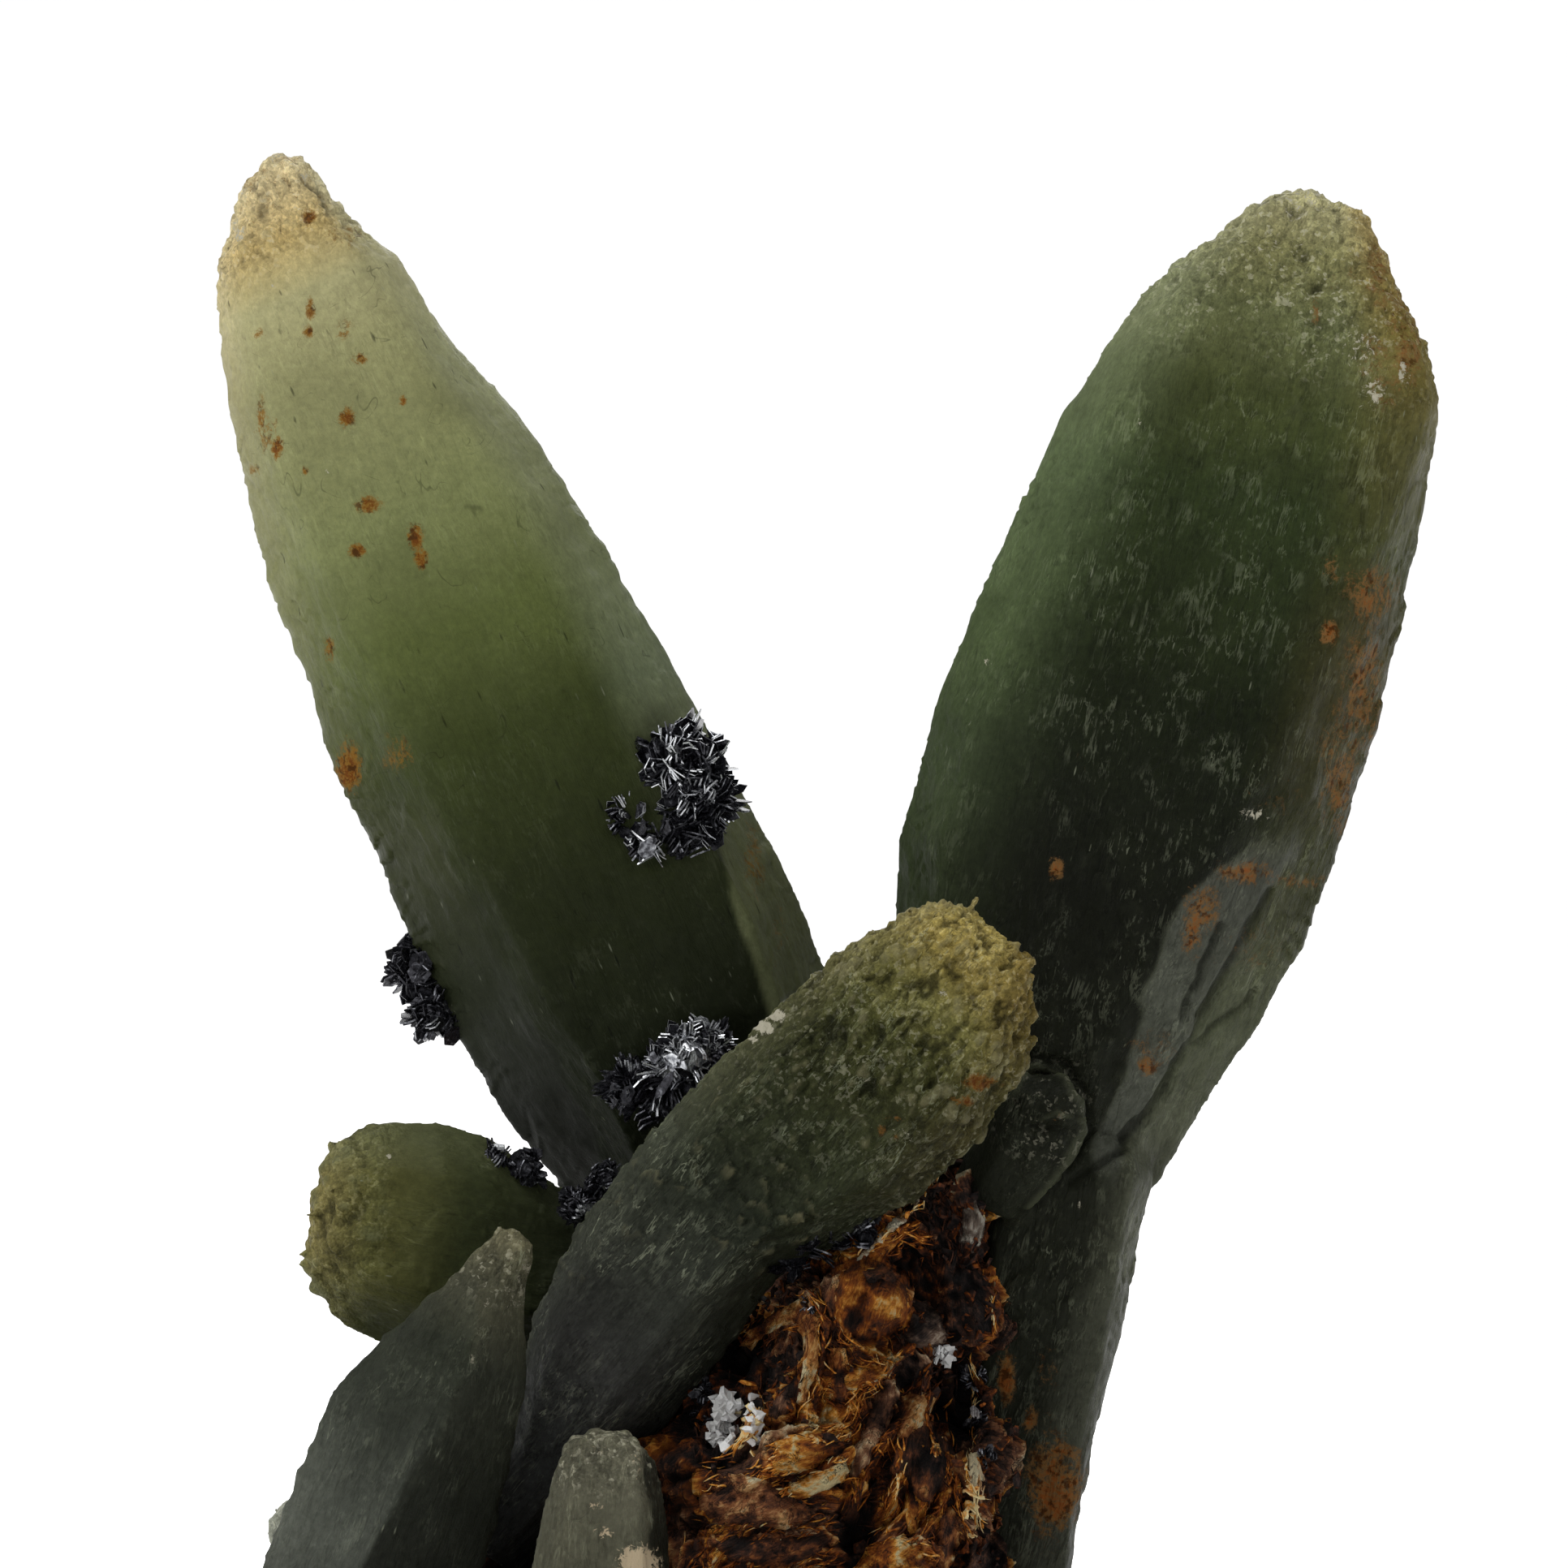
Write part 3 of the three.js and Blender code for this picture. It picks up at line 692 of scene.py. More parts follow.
RIGHT = Crystal(
    node="right_crystal", tip=(37.5, 8, 126), root=(16.9, 4, 48.8), voxel=0.335, sugar_reach=12,
    knobs=((2.4, 0.2), (1.1, 0.34), (0.8, 0.3)), scales=(2.0, 4.4, 0.26),
    body=[
        (0.0, 172, 166, 124), (0.05, 124, 122, 80), (0.12, 92, 96, 61), (0.2, 59, 65, 34), (0.3, 40, 49, 24),
        (0.42, 31, 38, 18), (0.52, 21, 26, 12), (0.7, 18, 20, 12), (0.95, 31, 33, 24), (1.5, 31, 33, 24),
    ],
    left=[
        (0.0, 150, 146, 110), (0.1, 120, 124, 92), (0.2, 98, 107, 76), (0.3, 80, 92, 62), (0.5, 68, 80, 50),
        (0.6, 58, 68, 44), (0.72, 44, 52, 31), (1.0, 32, 34, 26),
    ],
    right=[
        (0.0, 148, 128, 78), (0.1, 122, 106, 50), (0.2, 82, 78, 42), (0.32, 62, 64, 33), (0.42, 62, 57, 30),
        (0.52, 58, 56, 30), (0.6, 44, 46, 21), (0.68, 54, 56, 36), (0.8, 78, 82, 62), (0.95, 73, 75, 61),
        (1.5, 72, 74, 64),
    ],
    left_rim=(0.35, 1.05), right_rim=(0.35, 0.85), rim_share=(1.0, 0.8),
    panels=(
        (((1650, 950), (1624, 984), (1495, 1076), (1457, 1111), (1414, 1216), (1390, 1301), (1359, 1377),
          (1346, 1402)), 1),
        (((1390, 1440), (1374, 1560), (1352, 1666), (1335, 1815), (1322, 1932)), 1),
    ),
    crest_highlight=(0.13, 0.14, 0.085, 1), steps=(0.3, 0.16), streaks=0.8, contrast=0.45, chips=0.6,
    dashes=0.4, sparkle=0.6, roughness=0.45,
    stains=(
        (1635, 780, 16, 20, 1.2), (1622, 380, 8, 30, 0.85), (1720, 380, 30, 60, 0.7),
        (1710, 470, 40, 50, 0.6), (1690, 730, 46, 50, 0.78), (1680, 840, 34, 110, 0.76),
        (1650, 960, 34, 90, 0.76), (1640, 700, 14, 30, 0.7), (1530, 1075, 54, 22, 0.82),
        (1466, 1140, 18, 50, 0.9), (1300, 1070, 13, 18, 1.0), (1414, 1313, 18, 18, 0.9),
        (1735, 420, 30, 90, 0.75), (1700, 330, 24, 60, 0.7), (1300, 1370, 14, 14, 0.5),
        (1240, 1697, 14, 36, 1.2), (1269, 1749, 12, 20, 1.1), (1300, 1830, 42, 80, 1.15),
        (1480, 1120, 30, 40, 0.85), (1660, 900, 30, 60, 0.7), (1700, 440, 40, 60, 0.62),
        (1660, 330, 60, 40, 0.4), (1600, 1085, 70, 14, 0.7), (1580, 980, 60, 40, 0.4),
        (1545, 1170, 60, 40, 0.5), (1420, 1290, 40, 26, 0.6), (1290, 1700, 20, 60, 0.55),
        (1680, 1040, 16, 12, 0.8),
    ),
    pales=(
        (1615, 248, 40, 14, 0.62), (1730, 465, 10, 20, 0.6), (1700, 500, 40, 24, 0.42),
        (1540, 1002, 26, 10, 0.7), (1680, 430, 34, 44, 0.55), (1690, 482, 26, 22, 0.7),
        (1728, 458, 6, 16, 1.0), (1610, 260, 60, 20, 0.5), (1585, 320, 40, 30, 0.35),
        (1460, 800, 6, 24, 0.45), (1690, 440, 34, 44, 0.42), (1600, 300, 100, 30, 0.36),
        (1403, 520, 4, 6, 1.0), (1216, 815, 6, 8, 0.7), (1331, 1481, 3, 14, 0.6),
    ),
    knob_spots=(((16.9, -6.4, 56.4), 6.0),),
    grooves=(
        (((1562, 1099), (1539, 1139), (1471, 1272), (1430, 1356), (1378, 1413)), 9, 0.42),
        (((1502, 1141), (1478, 1190), (1456, 1256)), 7, 0.4),
        (((1545, 1225), (1508, 1256), (1471, 1290)), 6, 0.3),
        (((1442, 1330), (1410, 1372), (1384, 1400)), 6, 0.3),
        (((1388, 1413), (1352, 1432), (1318, 1457)), 9, 0.42),
        (((1248, 1350), (1272, 1312), (1304, 1322), (1326, 1354), (1331, 1388), (1306, 1434), (1264, 1486)),
          8, -0.5),
        (((1236, 1342), (1268, 1300), (1312, 1310), (1338, 1350), (1342, 1392), (1316, 1440), (1274, 1490)),
          8, 0.45),
        (((1276, 1376), (1298, 1368), (1326, 1380)), 6, -0.45),
        (((1268, 1386), (1298, 1384), (1322, 1394)), 6, 0.35),
    ),
    grey_face=((1600, 1040), (1562, 1099), (1539, 1139), (1471, 1272), (1430, 1356), (1378, 1413)),
    rust=seen(112, 82, 46), rust_core=seen(124, 70, 28), tip_rise=1.0, tip_stain=0.1,
    smoothing=(24, 22, 0.62), rounded_from=-0.8, seed=23,
)
FRONT_LEAN = Crystal(
    node="front_crystal", tip=(12.6, -15.5, 69.8), root=(-17.2, -8.5, 34.4), voxel=0.22, sugar_reach=23,
    knobs=((3.0, 0.34), (1.25, 0.5), (0.65, 0.42)), scales=(1.3, 2.0, 0.5),
    body=[
        (0.0, 150, 134, 74), (0.06, 132, 117, 62), (0.14, 112, 108, 60), (0.22, 66, 67, 34),
        (0.3, 50, 52, 27), (0.42, 44, 48, 28), (0.6, 35, 39, 28), (0.8, 48, 50, 43), (0.95, 57, 57, 54),
        (1.1, 54, 55, 53), (1.5, 26, 26, 25),
    ],
    left=[(0.0, 126, 116, 74), (0.3, 80, 80, 52), (0.6, 60, 63, 51), (1.0, 52, 54, 48), (1.5, 30, 30, 28)],
    right=[
        (0.0, 112, 94, 46), (0.2, 72, 66, 36), (0.3, 56, 51, 28), (0.5, 32, 34, 20), (1.0, 28, 29, 23),
        (1.5, 20, 21, 20),
    ],
    left_rim=(0.6, 1.0), right_rim=(0.3, 0.9), rim_share=(0.8, 0.8), crest_highlight=(0.24, 0.22, 0.12, 1),
    crest_highlight_share=0.45, fade=(0.4, 1.1), sparkle=0.3, steps=(0.2, 0.2), streaks=0.9, contrast=0.6,
    chips=1.5, roughness=0.45, rust=seen(110, 76, 34), rust_core=seen(88, 46, 16),
    stains=(
        (1205, 1328, 26, 12, 1.2), (1180, 1350, 20, 9, 0.9), (1100, 1372, 16, 6, 0.9),
        (1085, 1385, 8, 12, 0.8), (1100, 1395, 8, 8, 0.7), (1250, 1230, 12, 26, 0.4),
    ),
    pales=(
        (955, 1248, 16, 8, 1.2), (940, 1262, 14, 9, 1.2), (926, 1274, 8, 7, 1.0), (1160, 1220, 8, 6, 0.8),
        (1120, 1390, 30, 12, 0.5), (1060, 1330, 30, 14, 0.35),
    ),
    tip_stain=0.1, smoothing=(6, 0, 1.0), seed=37,
)
STUB = Crystal(
    node="stub_crystal", tip=(-40, -4.5, 46.9), root=(-15.4, 0.5, 43.2), voxel=0.23, sugar_reach=6,
    knobs=((2.4, 0.6), (1.0, 0.3)), scales=(1.6, 3.2, 0.16),
    body=[(0.0, 114, 106, 64), (0.15, 80, 79, 42), (0.45, 50, 55, 31), (0.8, 36, 40, 26), (1.2, 30, 32, 22)],
    left=[(0.0, 104, 100, 62), (0.22, 46, 50, 27), (0.6, 32, 36, 19), (1.0, 30, 32, 20)],
    left_rim=(0.3, 0.9),
    right=[(0.0, 104, 104, 70), (0.3, 84, 88, 60), (0.55, 66, 70, 46), (0.8, 36, 39, 29), (1.0, 30, 32, 24)],
    rim_share=(0.85, 0.7), streaks=0.12, contrast=0.4, chips=0.6, sparkle=0.12,
    pales=((482, 1423, 5, 4, 1.0),), stains=((490, 1540, 5, 5, 0.9),), tip_stain=0.05,
    smoothing=(6, 0, 1.0), seed=41,
)
LOWER_LEFT = Crystal(
    node="lower_left_crystal", tip=(-23.8, -17.5, 46.5), root=(-37.7, -15.5, 8.4), voxel=0.24,
    sugar_reach=5, knobs=((1.6, 0.35), (0.8, 0.2)), scales=(1.6, 3.6, 0.14),
    body=[
        (0.0, 104, 100, 76), (0.1, 68, 68, 54), (0.22, 42, 45, 35), (0.4, 48, 51, 43), (0.65, 74, 77, 69),
        (1.2, 56, 58, 52),
    ],
    left=[(0.0, 100, 97, 76), (0.16, 52, 54, 44), (0.35, 49, 52, 44), (0.6, 92, 95, 86), (1.2, 67, 69, 63)],
    right=[(0.0, 80, 78, 60), (0.25, 43, 45, 36), (0.5, 36, 38, 31), (1.2, 30, 31, 26)],
    rim_share=(0.5, 0.3),
    panels=((((600, 1560), (587, 1676), (547, 1751), (506, 1814), (450, 1929)), 1),),
    pales=(
        (640, 1584, 22, 34, 0.6), (650, 1556, 10, 16, 0.7), (606, 1600, 8, 20, 0.5), (588, 1660, 6, 10, 0.7),
    ),
    pale_colour=(0.28, 0.26, 0.19, 1), streaks=0.5, contrast=0.45, chips=0.8, tip_rise=0.5,
    smoothing=(5, 8, 1.2), seed=53,
)
LOW_FRONT = Crystal(
    node="low_front_crystal", tip=(-17.2, -20, 31.9), root=(-17.8, -18, 9), voxel=0.22, sugar_reach=4,
    knobs=((1.6, 0.35), (0.8, 0.2)), scales=(1.4, 3.0, 0.16),
    body=[(0.0, 96, 94, 78), (0.3, 84, 83, 68), (1.2, 64, 63, 50)],
    left=[(0.0, 92, 92, 78), (1.2, 60, 60, 50)],
    right=[(0.0, 44, 44, 36), (0.4, 30, 30, 23), (1.2, 26, 26, 20)], rim_share=(0.4, 0.2),
    panels=((((802, 1765), (802, 1823), (806, 1932)), 1),), streaks=0.5, contrast=0.4, chips=0.7,
    pales=(
        (790, 1908, 30, 26, 1.15), (740, 1838, 14, 10, 0.6), (785, 1790, 10, 34, 0.55),
        (748, 1872, 16, 9, 0.7), (745, 1772, 40, 8, 0.45),
    ),
    pale_colour=(0.62, 0.5, 0.33, 1), sparkle=0.7, stains=((785, 1920, 26, 18, 0.7),),
    smoothing=(6, 0, 0.4), seed=61,
)
HIDDEN_STUB = Crystal(
    node="hidden_stub_crystal", tip=(-42, -5, 25.8), root=(-31, -5, 14), voxel=0.24, sugar_reach=3,
    knobs=((1.2, 0.2), (0.6, 0.12)), scales=(1.4, 3.0, 0.1),
    body=[(0.0, 150, 152, 138), (1.3, 90, 92, 76)], left=[(0.0, 140, 142, 126), (1.3, 90, 92, 76)],
    right=[(0.0, 130, 132, 116), (1.3, 80, 82, 66)], smoothing=(6, 0, 0.5), seed=67,
)
CRYSTALS = (LEFT, RIGHT, FRONT_LEAN, STUB, LOWER_LEFT, LOW_FRONT, HIDDEN_STUB)


def facing_front(normals):
    """1 on the front of a piece, easing to 0 where it turns to the back."""
    return smoothstep(0.3, -0.05, normals[:, 1])


def from_spot(places, u, v, reach_across, reach_down):
    """How far each place lies across and down from a spot of the photograph, in the spot's own reaches."""
    x, z = photo_place(u, v)
    return (places[:, 0] - x) * PIXELS_PER_MM / reach_across, (places[:, 2] - z) * PIXELS_PER_MM / reach_down


def spread(places, normals, spots):
    """How strongly spots that the photograph shows cover each place on the front, from 0 to about 1."""
    total = np.zeros(len(places))
    for *spot, strength in spots:
        total = np.maximum(total, strength * smoothstep(1.5, 0.2, np.hypot(*from_spot(places, *spot))))
    return total * facing_front(normals)


class Axes:
    """A crystal's own axes in the row frame: along it to its tip, to its right and forward."""

    def __init__(self, crystal):
        self.tip = np.array(crystal.tip) + ORIGIN
        along = np.array(crystal.tip) - np.array(crystal.root)
        self.length = np.linalg.norm(along)
        self.along = along / self.length
        self.right = unit(np.cross(self.along, FRONT))
        self.forward = np.cross(self.right, self.along)

    def below_tip(self, places):
        return (self.tip - places) @ self.along

    def local(self, places):
        """Each place to the right, forward and down from the tip."""
        away = places - self.tip
        return np.column_stack([away @ self.right, away @ self.forward, self.below_tip(places)])


def side_of(places, normals, points, hand):
    """1 where a place on the front lies on one side of a ridge that the photograph shows, else 0."""
    u = places[:, 0] * PIXELS_PER_MM + PIXEL_ORIGIN[0] - ORIGIN[0] * PIXELS_PER_MM
    v = PIXEL_ORIGIN[1] - places[:, 2] * PIXELS_PER_MM
    ridge = np.array(points, float)
    beyond = u - np.interp(v, ridge[:, 1], ridge[:, 0]) + 5 * noise(places / 1.5, 3)
    beyond = hand * (beyond + 9 * noise(places / np.array((2.0, 2.0, 7.0)), 5))
    inside = smoothstep(-5, 6, beyond) * smoothstep(ridge[0, 1] - 40, ridge[0, 1] + 40, v)
    inside = inside * smoothstep(ridge[-1, 1] + 60, ridge[-1, 1] + 20, v)
    return inside * smoothstep(0.6, 0.1, normals[:, 1])


def line_distance(places, points):
    """How far, in pixels, each place lies from a line that the photograph shows."""
    line = np.column_stack(photo_place(*np.array(points, float).T))
    here = places[:, [0, 2]] + 0.25 * noise3(places / 1.1, 29)[:, :2]
    nearest = np.full(len(places), FAR)
    for start, end in zip(line[:-1], line[1:]):
        step = end - start
        share = np.clip((here - start) @ step / (step @ step), 0, 1)
        nearest = np.minimum(nearest, np.linalg.norm(here - start - share[:, None] * step, axis=1))
    return nearest * PIXELS_PER_MM


def extents(local):
    """The left and right reach of the piece at each millimetre from its tip."""
    station = np.clip(local[:, 2].astype(int) + 4, 0, None)
    left, right = np.full(station.max() + 1, -0.5), np.full(station.max() + 1, 0.5)
    np.minimum.at(left, station, local[:, 0])
    np.maximum.at(right, station, local[:, 0])
    return left, right


def width_at(local, left, right):
    stations = np.arange(len(left)) - 3.5
    from_left = np.interp(local[:, 2], stations, left)
    from_right = np.interp(local[:, 2], stations, right)
    return np.where(local[:, 0] > 0, from_right, -from_left)


def lateral(local):
    """How far each place lies between the axis, 0, and the left, -1, or right edge, 1, of its crystal."""
    return local[:, 0] / width_at(local, *extents(local))


def growth_scales(local, size, seed):
    """Ragged overlapping plates that rise towards the crystal's tip and end in a ledge."""
    width, length, height = size
    ragged = local + 0.5 * noise3(local / 0.9, seed)
    distance, offset, number = cells(ragged / np.array((width, width, length)), seed + 9)
    lift = np.clip(0.5 - offset[:, 2], 0, 1) * smoothstep(1.05, 0.6, distance)
    return height * (lift * (0.4 + number) - 0.35)


def grown_relief(crystal, local, length, sugar, across, seed):
    """The height of the crystal's growth forms at each place, in mm: the broad swell and the small forms."""
    swell = 0.3 * fractal(local / 7.5, seed, 3)
    lines = np.column_stack([local[:, 0] / 0.75, local[:, 1] / 0.75, local[:, 2] / 11])
    relief = 0.05 * fractal(lines, seed + 5, 2)
    patch = smoothstep(-0.35, 0.35, noise(local / 9, seed + 13))
    fade = 1 - 0.8 * smoothstep(*crystal.fade, local[:, 2] / length)
    plates = growth_scales(local, crystal.scales, seed + 30) * (0.35 + 0.65 * patch)
    relief += plates * fade * (1 - 0.75 * sugar)
    phase = local[:, 2] / 1.5 + 1.2 * noise(local / 3, seed + 17)
    tooth = np.column_stack([np.floor(phase), np.sign(across), np.floor(local[:, 1] / 2.5)])
    tooth = hashed(tooth, seed + 19)
    saw = (np.mod(phase, 1.0) - 0.5) * smoothstep(0.35, 0.95, tooth)
    rise = np.where(across < 0, *crystal.steps) * smoothstep(3, 8, local[:, 2])
    relief += rise * saw * smoothstep(0.7, 0.97, np.abs(across))
    for order, (size, rise) in enumerate(crystal.knobs):
        stretched = local / np.array((size, size, size * 1.5))
        distance, offset, number = cells(stretched, seed + 21 + order)
        peak = smoothstep(0.85, 0.1, distance)
        relief += sugar * rise * (0.6 + 0.8 * number) * (peak + 0.3 * np.clip(-offset[:, 2], 0, 1) - 0.45)
    return swell, relief


def rounding_mask(crystal, local, length):
    """Where the crystal's ridges are rounded off: below the grainy end and above its lower part."""
    reach = crystal.sugar_reach
    below = smoothstep(crystal.rounded_from * reach, (crystal.rounded_from + 1.1) * reach, local[:, 2])
    return below * smoothstep(1.1, 0.75, local[:, 2] / length / crystal.smoothing[2])


def rounded_form(crystal, axes):
    """The crystal's solid with its upper ridges rounded and its width kept."""
    form = copy_of_node(crystal.node, crystal.name + "_form")
    remeshed(form, FORM_VOXEL)
    local = axes.local(places_mm(form))
    before = extents(local)
    mask = rounding_mask(crystal, local, axes.length)
    apply_masked(form, "SMOOTH", mask, factor=0.5, iterations=crystal.smoothing[1])
    places = places_mm(form)
    local = axes.local(places)
    gain = np.clip(width_at(local, *before) / width_at(local, *extents(local)), 1.0, 1.25)
    put_places(form, places + ((gain - 1) * local[:, 0] * mask)[:, None] * axes.right)
    return form


def smooth_crystal(piece, crystal, axes):
    """Rounds the crystal's ridges, and softens its edges below the tip."""
    if crystal.smoothing[1]:
        form = rounded_form(crystal, axes)
        mask = rounding_mask(crystal, axes.local(places_mm(piece)), axes.length)
        apply_masked(piece, "SHRINKWRAP", mask, target=form, wrap_method="NEAREST_SURFACEPOINT")
        bpy.data.objects.remove(form)
    mask = smoothstep(-12, 2, axes.below_tip(places_mm(piece)))
    apply_masked(piece, "SMOOTH", mask, factor=0.5, iterations=crystal.smoothing[0])


def grainy_share(crystal, places, local):
    """How grainy each place is: 1 on the grainy end, less on further ones, 0 on the clean sides."""
    reach = crystal.sugar_reach
    wander = 0.22 * reach * noise(local / 3.5, crystal.seed)
    sugar = smoothstep(1.25 * reach, 0.45 * reach, local[:, 2] + wander)
    for spot, spot_reach in crystal.knob_spots:
        away = np.linalg.norm(places - np.array(spot) - ORIGIN, axis=1)
        sugar = np.maximum(sugar, 0.45 * smoothstep(spot_reach, 0.6 * spot_reach, away))
    return sugar


def side_shares(crystal, places, normals, across, down):
    """How strongly the colours of the left side and of the right side, with their painted light and shade,
    show at each place.
    """
    kept = 1 - smoothstep(*crystal.rim_fade, down)
    left = kept * crystal.rim_share[0] * smoothstep(*crystal.left_rim, -across)
    right = kept * crystal.rim_share[1] * smoothstep(*crystal.right_rim, across)
    for points, hand in crystal.panels:
        panel = side_of(places, normals, points, hand)
        if hand < 0:
            left = np.maximum(left, panel)
        else:
            right = np.maximum(right, panel)
    return left, right


def make_crystal(crystal, groups, settings):
    piece = copy_of_node(crystal.node, crystal.name)
    axes = Axes(crystal)
    remeshed(piece, crystal.voxel)
    smooth_crystal(piece, crystal, axes)
    places, normals = places_mm(piece), normals_of(piece)
    local = axes.local(places)
    below_tip, across = local[:, 2], lateral(local)
    sugar = grainy_share(crystal, places, local)
    swell, relief = grown_relief(crystal, local, axes.length, sugar, across, crystal.seed)
    for points, half_width, depth in crystal.grooves:
        relief -= depth * facing_front(normals) * smoothstep(half_width, 0.0, line_distance(places, points))
    rise = crystal.tip_rise * smoothstep(4.0, 0.0, below_tip)
    put_places(piece, places + normals * (swell + relief)[:, None] + axes.along * rise[:, None])
    left, right = side_shares(crystal, places, normals, across, below_tip / axes.length)
    extent, reach = below_tip.max(), crystal.sugar_reach
    tip_rust = crystal.tip_stain * smoothstep(1.1 * reach, 0.1 * reach, below_tip)
    put_attributes(
        piece,
        along=np.clip(below_tip / extent, 0, 1),
        left=left,
        right=right,
        grey=right * side_of(places, normals, crystal.grey_face, -1) if crystal.grey_face else 0 * across,
        sugar=sugar,
        relief=relief,
        stain=np.maximum(spread(places, normals, crystal.stains), tip_rust),
        pale=spread(places, normals, crystal.pales),
    )
    material = prase_material(crystal, groups, axes.length / extent, settings)
    finish_piece(piece, material, [crystal.node])


# Thin blades, shards and blocks


class Heap:
    """Many small copies of one shape, joined into one mesh with a number for each face."""

    def __init__(self, template):
        self.shape, self.shape_faces = template
        self.vertices, self.faces, self.numbers = [], [], []

    def add(self, middle, axes, sizes, number, jitter=None, rim=None):
        """rim is the number of the narrow faces, where it isn't that of the broad ones."""
        local = self.shape * np.asarray(sizes)
        if jitter is not None:
            local = local + jitter
        start = len(self.vertices) * len(self.shape)
        self.vertices.append(middle + local @ np.asarray(axes))
        for face in self.shape_faces:
            self.faces.append(tuple(start + i for i in face))
            self.numbers.append(number if rim is None or len(face) > 4 else rim)

    def build(self, name, attribute):
        obj = mesh_object(name, np.concatenate(self.vertices), self.faces)
        put_attribute(obj, attribute, self.numbers, "FACE")
        return obj


def template_of(obj):
    """The corners and faces of an object, which goes."""
    mesh = obj.data
    vertices = np.array([v.co for v in mesh.vertices])
    faces = [tuple(p.vertices) for p in mesh.polygons]
    bpy.data.objects.remove(obj)
    bpy.data.meshes.remove(mesh)
    return vertices, faces


def blade_template():
    """A six-sided plate of length 1 along Y, pointed at both ends."""
    deselect_all()
    bpy.ops.mesh.primitive_cylinder_add(vertices=6, radius=0.5, depth=1.0)
    return template_of(bpy.context.object)


def block_template():
    """A block of side 1 with broken edges."""
    deselect_all()
    bpy.ops.mesh.primitive_cube_add(size=1.0)
    block = bpy.context.object
    apply_modifier(block, "BEVEL", width=0.14, segments=1, limit_method="NONE")
    return template_of(block)


def random_direction(rng):
    return unit(rng.normal(size=3))


def axes_for(direction, rng):
    """Three unit vectors, the second along the direction and the third square to a blade's faces."""
    direction = unit(direction)
    normal = unit(np.cross(direction, random_direction(rng)))
    return np.cross(direction, normal), direction, normal


# The hematite roses


@dataclass
class Tuft:
    """Books of thin blades that fan out of one heart."""

    heart: tuple
    radius: float
    books: int
    lean: tuple = (0.0, -0.5, 0.2)  # where most of them point
    # Share of books whose blades and rims carry a painted shine
    bright: float = 0.25
    plates: float = 0.25  # the share of books that are broad plates
    slim: float = 1.0  # the width of the blades over the usual one


ROSES_SEED = 500
ROSES = {
    "rose_on_left_crystal": (
        Tuft((-11.2, 2.4, 82.2), 4.2, 130, (0.1, -0.9, 0.5), 0.5, 0.15),
        Tuft((-10.2, 2.4, 79.6), 4.0, 90, (0.4, -0.8, 0.0), 0.5, 0.15, 0.8),
        Tuft((-11.2, 2.4, 77.4), 3.4, 50, (0.0, -0.9, -0.5), 0.0, 0.4),
        Tuft((-14.2, 1.8, 76.4), 2.4, 24, (-0.1, -1.0, 0.0), 0.5, 0.7),
        Tuft((-15.2, 1.8, 78.0), 2.8, 36, (-0.8, -0.5, 0.9), 0.6, 0.1, 0.6),
    ),
    "rose_on_left_edge": (
        Tuft((-31.5, 11.2, 66.6), 3.2, 70, (-0.7, -0.6, 0.1), 0.15),
        Tuft((-30.2, 11.2, 63.2), 3.2, 70, (-0.7, -0.6, -0.2), 0.15),
    ),
    "rose_in_valley": (
        Tuft((-12.3, -0.8, 59.0), 2.6, 70, (0.1, -0.8, 0.7), 1.0, 0.4, 0.6),
        Tuft((-10.7, -0.9, 60.0), 3.2, 80, (0.1, -0.8, 0.6), 1.0, 0.4, 0.7),
        Tuft((-12.4, -1.4, 58.4), 4.2, 34, (-0.3, -0.6, -1.2), 0.25, 0.1, 0.3),
        Tuft((-14.6, -0.2, 57.4), 3.2, 50, (-0.6, -0.6, 0.2), 0.0, 0.2, 0.6),
        Tuft((-15.2, -0.4, 57.8), 3.2, 20, (-0.9, -0.5, 0.5), 0.3, 0.0, 0.22),
        Tuft((-9.4, -0.6, 60.6), 2.8, 70, (0.2, -0.8, 0.5), 0.7, 0.2, 0.6),
    ),
    "rose_on_stub": (
        Tuft((-25.6, -2.6, 52.0), 1.8, 30, (-0.2, -0.8, 0.5), 0.1),
        Tuft((-23.2, -2.4, 51.1), 2.1, 36, (0.2, -0.8, 0.4), 0.1),
    ),
    "rose_in_seam": (
        Tuft((-17.1, -6.4, 50.3), 2.0, 36, (0.1, -0.8, 0.6), 0.1),
        Tuft((-19.0, -6.4, 48.5), 2.1, 40, (-0.4, -0.8, 0.3), 0.1),
    ),
    "rose_on_matrix": (
        Tuft((-1.0, -11.2, 45.4), 3.6, 40, (0.1, -0.5, 1.3), 0.06, 0.2),
        Tuft((1.7, -10.6, 46.6), 3.2, 30, (0.3, -0.5, 1.3), 0.1, 0.2),
        Tuft((-3.4, -11.0, 43.8), 2.6, 20, (-0.2, -0.6, 0.9), 0.05, 0.2),
    ),
}


